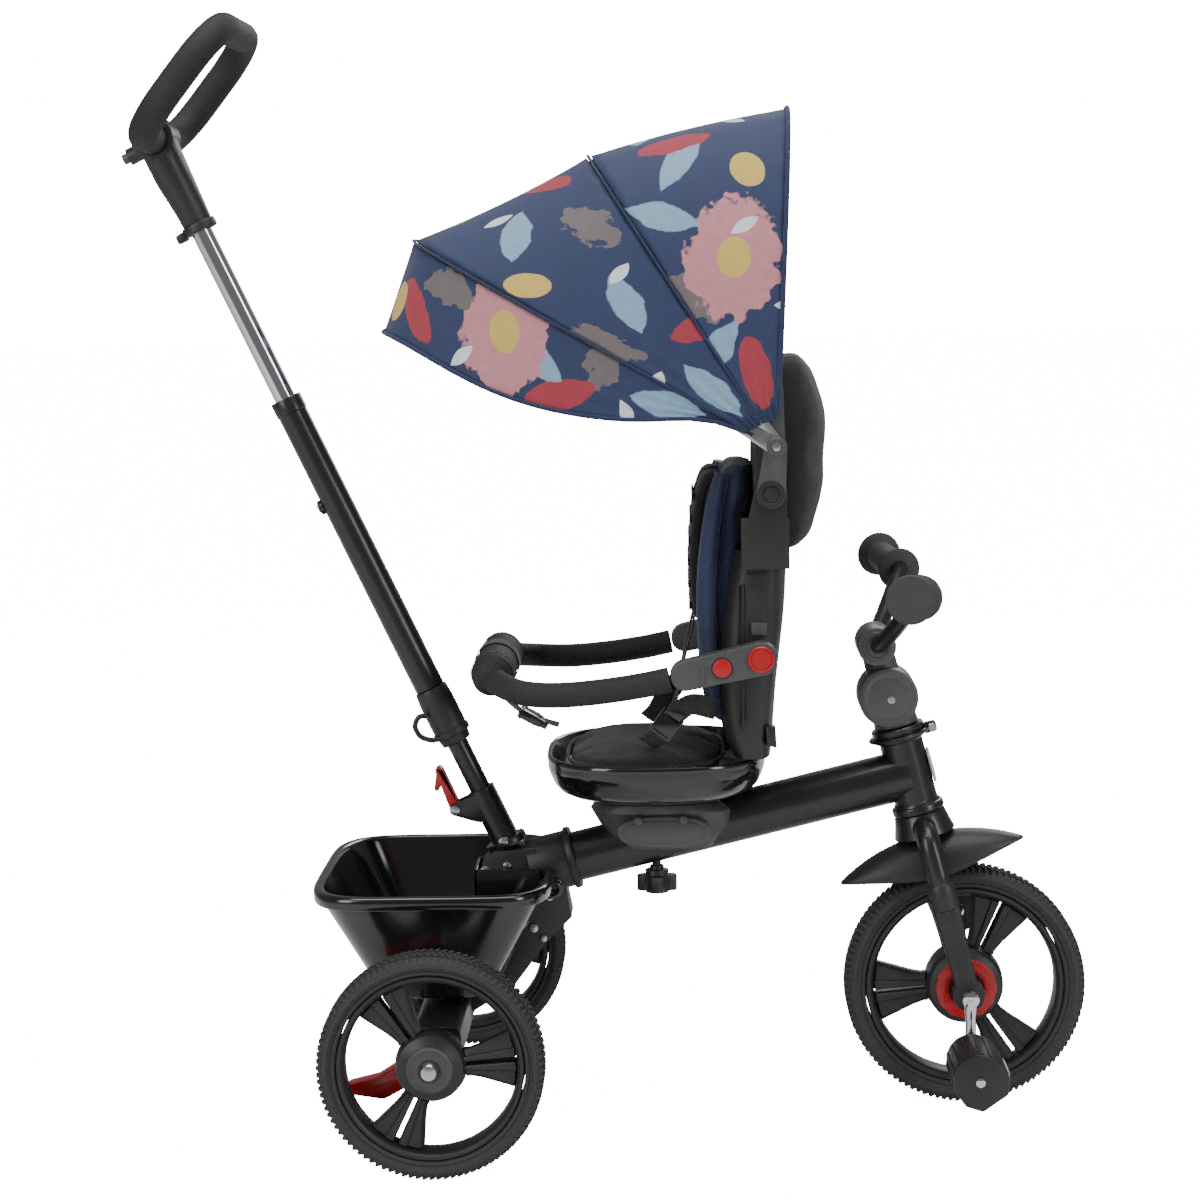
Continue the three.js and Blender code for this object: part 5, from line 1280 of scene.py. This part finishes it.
# ---- Push pole, its handle and the latch ---------------------------------------------------------
# A telescopic pole: black foot, tapered plastic collar, enamelled sleeve and chromed upper tube.
# A moulded bracket holds the foam loop, and a red latch and a snap button lock the parts.
foot = turned([(0, 18), (9.8, 18), (9.8, 160), (0, 160)], pole_place, 48)
show("pole_foot_finished", foot, enamel, "satin_metal", "pole", "pole_foot")
collar = turned([(10.2, 116), (13.2, 116), (14.2, 117), (16, 128), (16.6, 134), (16.6, 160), (15.6, 171),
                 (15.0, 172.6), (10.2, 172.8)],
                pole_place, 56, closed=True)
show("pole_collar_moulding", collar, black_plastic, "black_plastic", "pole", "pole_collar", sharp=28)
sleeve = turned([(10.6, 173.3), (13.6, 173.3), (14, 174), (14, 462), (14.9, 463), (15.1, 475.6),
                 (14.4, 477.2), (10.6, 477.3)],
                pole_place, 64, closed=True)
boss = turned([(4.6, 13), (7, 13), (7, 16.6), (6.4, 17.4), (4.6, 17.4)],
              pole_place @ at(0, 0, 371) @ Matrix.Rotation(math.radians(-90), 4, "Y"), 32, closed=True)
together(sleeve, boss)
show("pole_sleeve_finished", sleeve, enamel, "satin_metal", "pole", "pole_sleeve", sharp=28)
refined("snap_button", zinc, "steel", "snap", 0.6)
upper = turned([(0, 362.3), (9.4, 362.3), (10, 363), (10, 682.3), (0, 682.3)], pole_place, 64)
show("chrome_tube_finished", upper, chrome_metal, "chrome", "chrome", "chrome_tube")
refined("handle_bracket", black_plastic, "black_plastic", "chrome", 1.4)
refined("handle_button", grey_plastic, "black_plastic", "handle_lock", 0.8)
clip = turned([(10.4, 650), (15.6, 650), (16.4, 651), (16.6, 657), (15.8, 658.4), (10.4, 658.4)],
              pole_place, 48, closed=True)
ear = slab([(-24, 648), (-14, 648), (-14, 657), (-24, 656)], -6, 6, 1.0, 2)
ear.transform(pole_place)
together(clip, ear)
show("bracket_clip", clip, black_plastic, "black_plastic", "chrome")

hub = pole_place @ at(0, 0, 744.3) @ Matrix.Rotation(math.radians(63.5), 4, "Y")
half_w, reach, corner = 97.5, 122.0, 44.0
loop_points = []
corners = [(half_w - corner, corner, -90), (half_w - corner, reach - corner, 0), (corner - half_w,
                                                                                  reach - corner, 90),
           (corner - half_w, corner, 180)]
for y, z, begin in corners:
    for k in range(9):
        a = math.radians(begin + 90 * k / 8)
        loop_points.append((0, y + corner * math.cos(a), z + corner * math.sin(a)))
loop_path = []
for one, two in zip(loop_points, loop_points[1:] + loop_points[:1]):
    one, two = Vector(one), Vector(two)
    steps = max(1, int((two - one).length / 6))
    loop_path += [one.lerp(two, k / steps) for k in range(steps)]
foam_loop = swept(loop_path, 14, 36, closed=True, up=(1, 0, 0))
foam_loop.transform(hub)
loop_piece = show("handle_loop_foam", foam_loop, foam_skin, "foam", "handle", "handle_loop", sharp=180)
joins = bmesh.new()
for y in (-32, 32):
    together(joins, turned([(14, -1.6), (14.6, -1), (14.6, 1), (14, 1.6)], at(0, y, 0) @ along_y, 48,
                           closed=True))
joins.transform(hub)
show("handle_foam_ends", joins, black_plastic, "foam", "handle")

refined("latch_lever", red_plastic, "red_plastic", "latch", 0.9)
pin = drum(2.5, 12.4, pole_place @ at(-29, 0, 59), 0.5, 24)
for y in (-12.4, 12.4):
    together(pin, drum(4.4, 0.9, pole_place @ at(-29, y, 59), 0.3, 24))
show("latch_pin", pin, zinc, "steel", "frame")
hook = swept(smooth_path([(-10, -12, 126), (-20, -14, 130), (-27, -14, 138), (-27, -14, 148),
                          (-20, -14, 154), (-13, -13, 152)], 6),
             2.6, 14)
together(hook, turned([(16, 124), (17.6, 124.6), (17.6, 130), (16, 130.6)], Matrix(), 40, closed=True))
hook.transform(pole_place)
show("strap_hook", hook, black_plastic, "black_plastic", "pole")

# ---- Basket --------------------------------------------------------------------------------------
# A glossy tray lofted through rounded oblongs, with a thick rolled rim, two wings beside the bracket
# and lip loops in front of it.
centre_x, floor_z, tall = -496.5, 129.6, 234.6
half_l, half_b = 111.5, 147


def basket_ring(z, length, width, power=5.0):
    """A rounded oblong ring round the tray; the bracket's notch in front is cut out later."""
    ring = []
    for px, py, pz in oblong(centre_x, z, length, width, power, 240):
        ring.append((px, py, pz))
    return ring


# The rolled lip: height from the rim's top and how far it stands in from the rim's edge.
lip = [(-13.4, 5), (-12.4, 1.2), (-11, 0.2), (-3.4, 0), (-1.2, 1.2), (0, 3.6), (-0.2, 7.6), (-1.6, 9.4),
       (-5, 10.2)]
tray = skin([basket_ring(floor_z, half_l - 60, half_b - 48), basket_ring(floor_z + 0.6, half_l - 58.4,
                                                                         half_b - 46.4),
             basket_ring(floor_z + 2.4, half_l - 57, half_b - 45.2)]
            + [basket_ring(floor_z + 2.4 + (tall - 14 - floor_z - 2.4) * k / 6, half_l - 57 + 49 * k / 6,
                           half_b - 45.2 + 37.2 * k / 6)
               for k in range(1, 7)]
            + [basket_ring(tall + rise, half_l - inset, half_b - inset) for rise, inset in lip]
            + [basket_ring(floor_z + 6, half_l - 59.4, half_b - 47.4),
               basket_ring(floor_z + 3, half_l - 63, half_b - 51)])
# The front wall is cut away where the pole and the tube's end stand.
notch_x, notch_half = -0.459, 27
cuts = [((notch_x, 0, 0), (1, 0, 0)), ((0, -notch_half * MM, 0), (0, 1, 0)), ((0, notch_half * MM, 0),
                                                                              (0, 1, 0))]
for spot, facing in cuts:
    everything = tray.verts[:] + tray.edges[:] + tray.faces[:]
    bmesh.ops.bisect_plane(tray, geom=everything, plane_co=spot, plane_no=facing)
middles = [(face, face.calc_center_median()) for face in tray.faces]
gone = [face for face,
        middle_spot in middles if middle_spot.x > notch_x and abs(middle_spot.y) < notch_half * MM]
bmesh.ops.delete(tray, geom=gone, context="FACES")
wall_of = bmesh.new()
for x0, x1, y0, y1 in ((-462, -459, -30, 30), (-462, -400, -30, -27), (-462, -400, 27, 30)):
    lowest = [floor_z, floor_z] if x1 == -459 else [floor_z, floor_z + (-400 + 445) * 1.75]
    together(wall_of, slab([(x0, lowest[0]), (x1 - (38 if x1 == -400 else 0), lowest[0]), (x1, tall - 20),
                            (x1, tall), (x0, tall)],
                           y0, y1, 0.7, 2))
together(tray, wall_of)
for sign in (-1, 1):
    for y in (38, 54):
        loop_shape = swept([Vector((-389 + 9 * math.cos(a), sign * y, tall - 14 + 7 * math.sin(a)))
                            for a in (2 * math.pi * k / 32 for k in range(32))], 2.4, 10, closed=True)
        together(tray, loop_shape)
show("basket_moulding", tray, gloss_plastic, "gloss_plastic", "frame", "basket", sharp=40)

# ---- Brake levers --------------------------------------------------------------------------------
# Red moulded foot levers on the beam's pins, held by a small washer and screw.
for side, sign in (("right", -1), ("left", 1)):
    refined(f"brake_lever_{side}", red_plastic, "red_plastic", f"brake_{side}", 1.4)
    way = along_y if sign > 0 else along_y.inverted()
    screw = turned([(0, 193.6), (3, 193.4), (5.4, 192.6), (6.2, 191.6), (6.2, 190.8), (0, 190.8)],
                   at(-503, 0, 90.6) @ way, 24)
    show(f"brake_screw_{side}", screw, zinc, "steel", "frame")
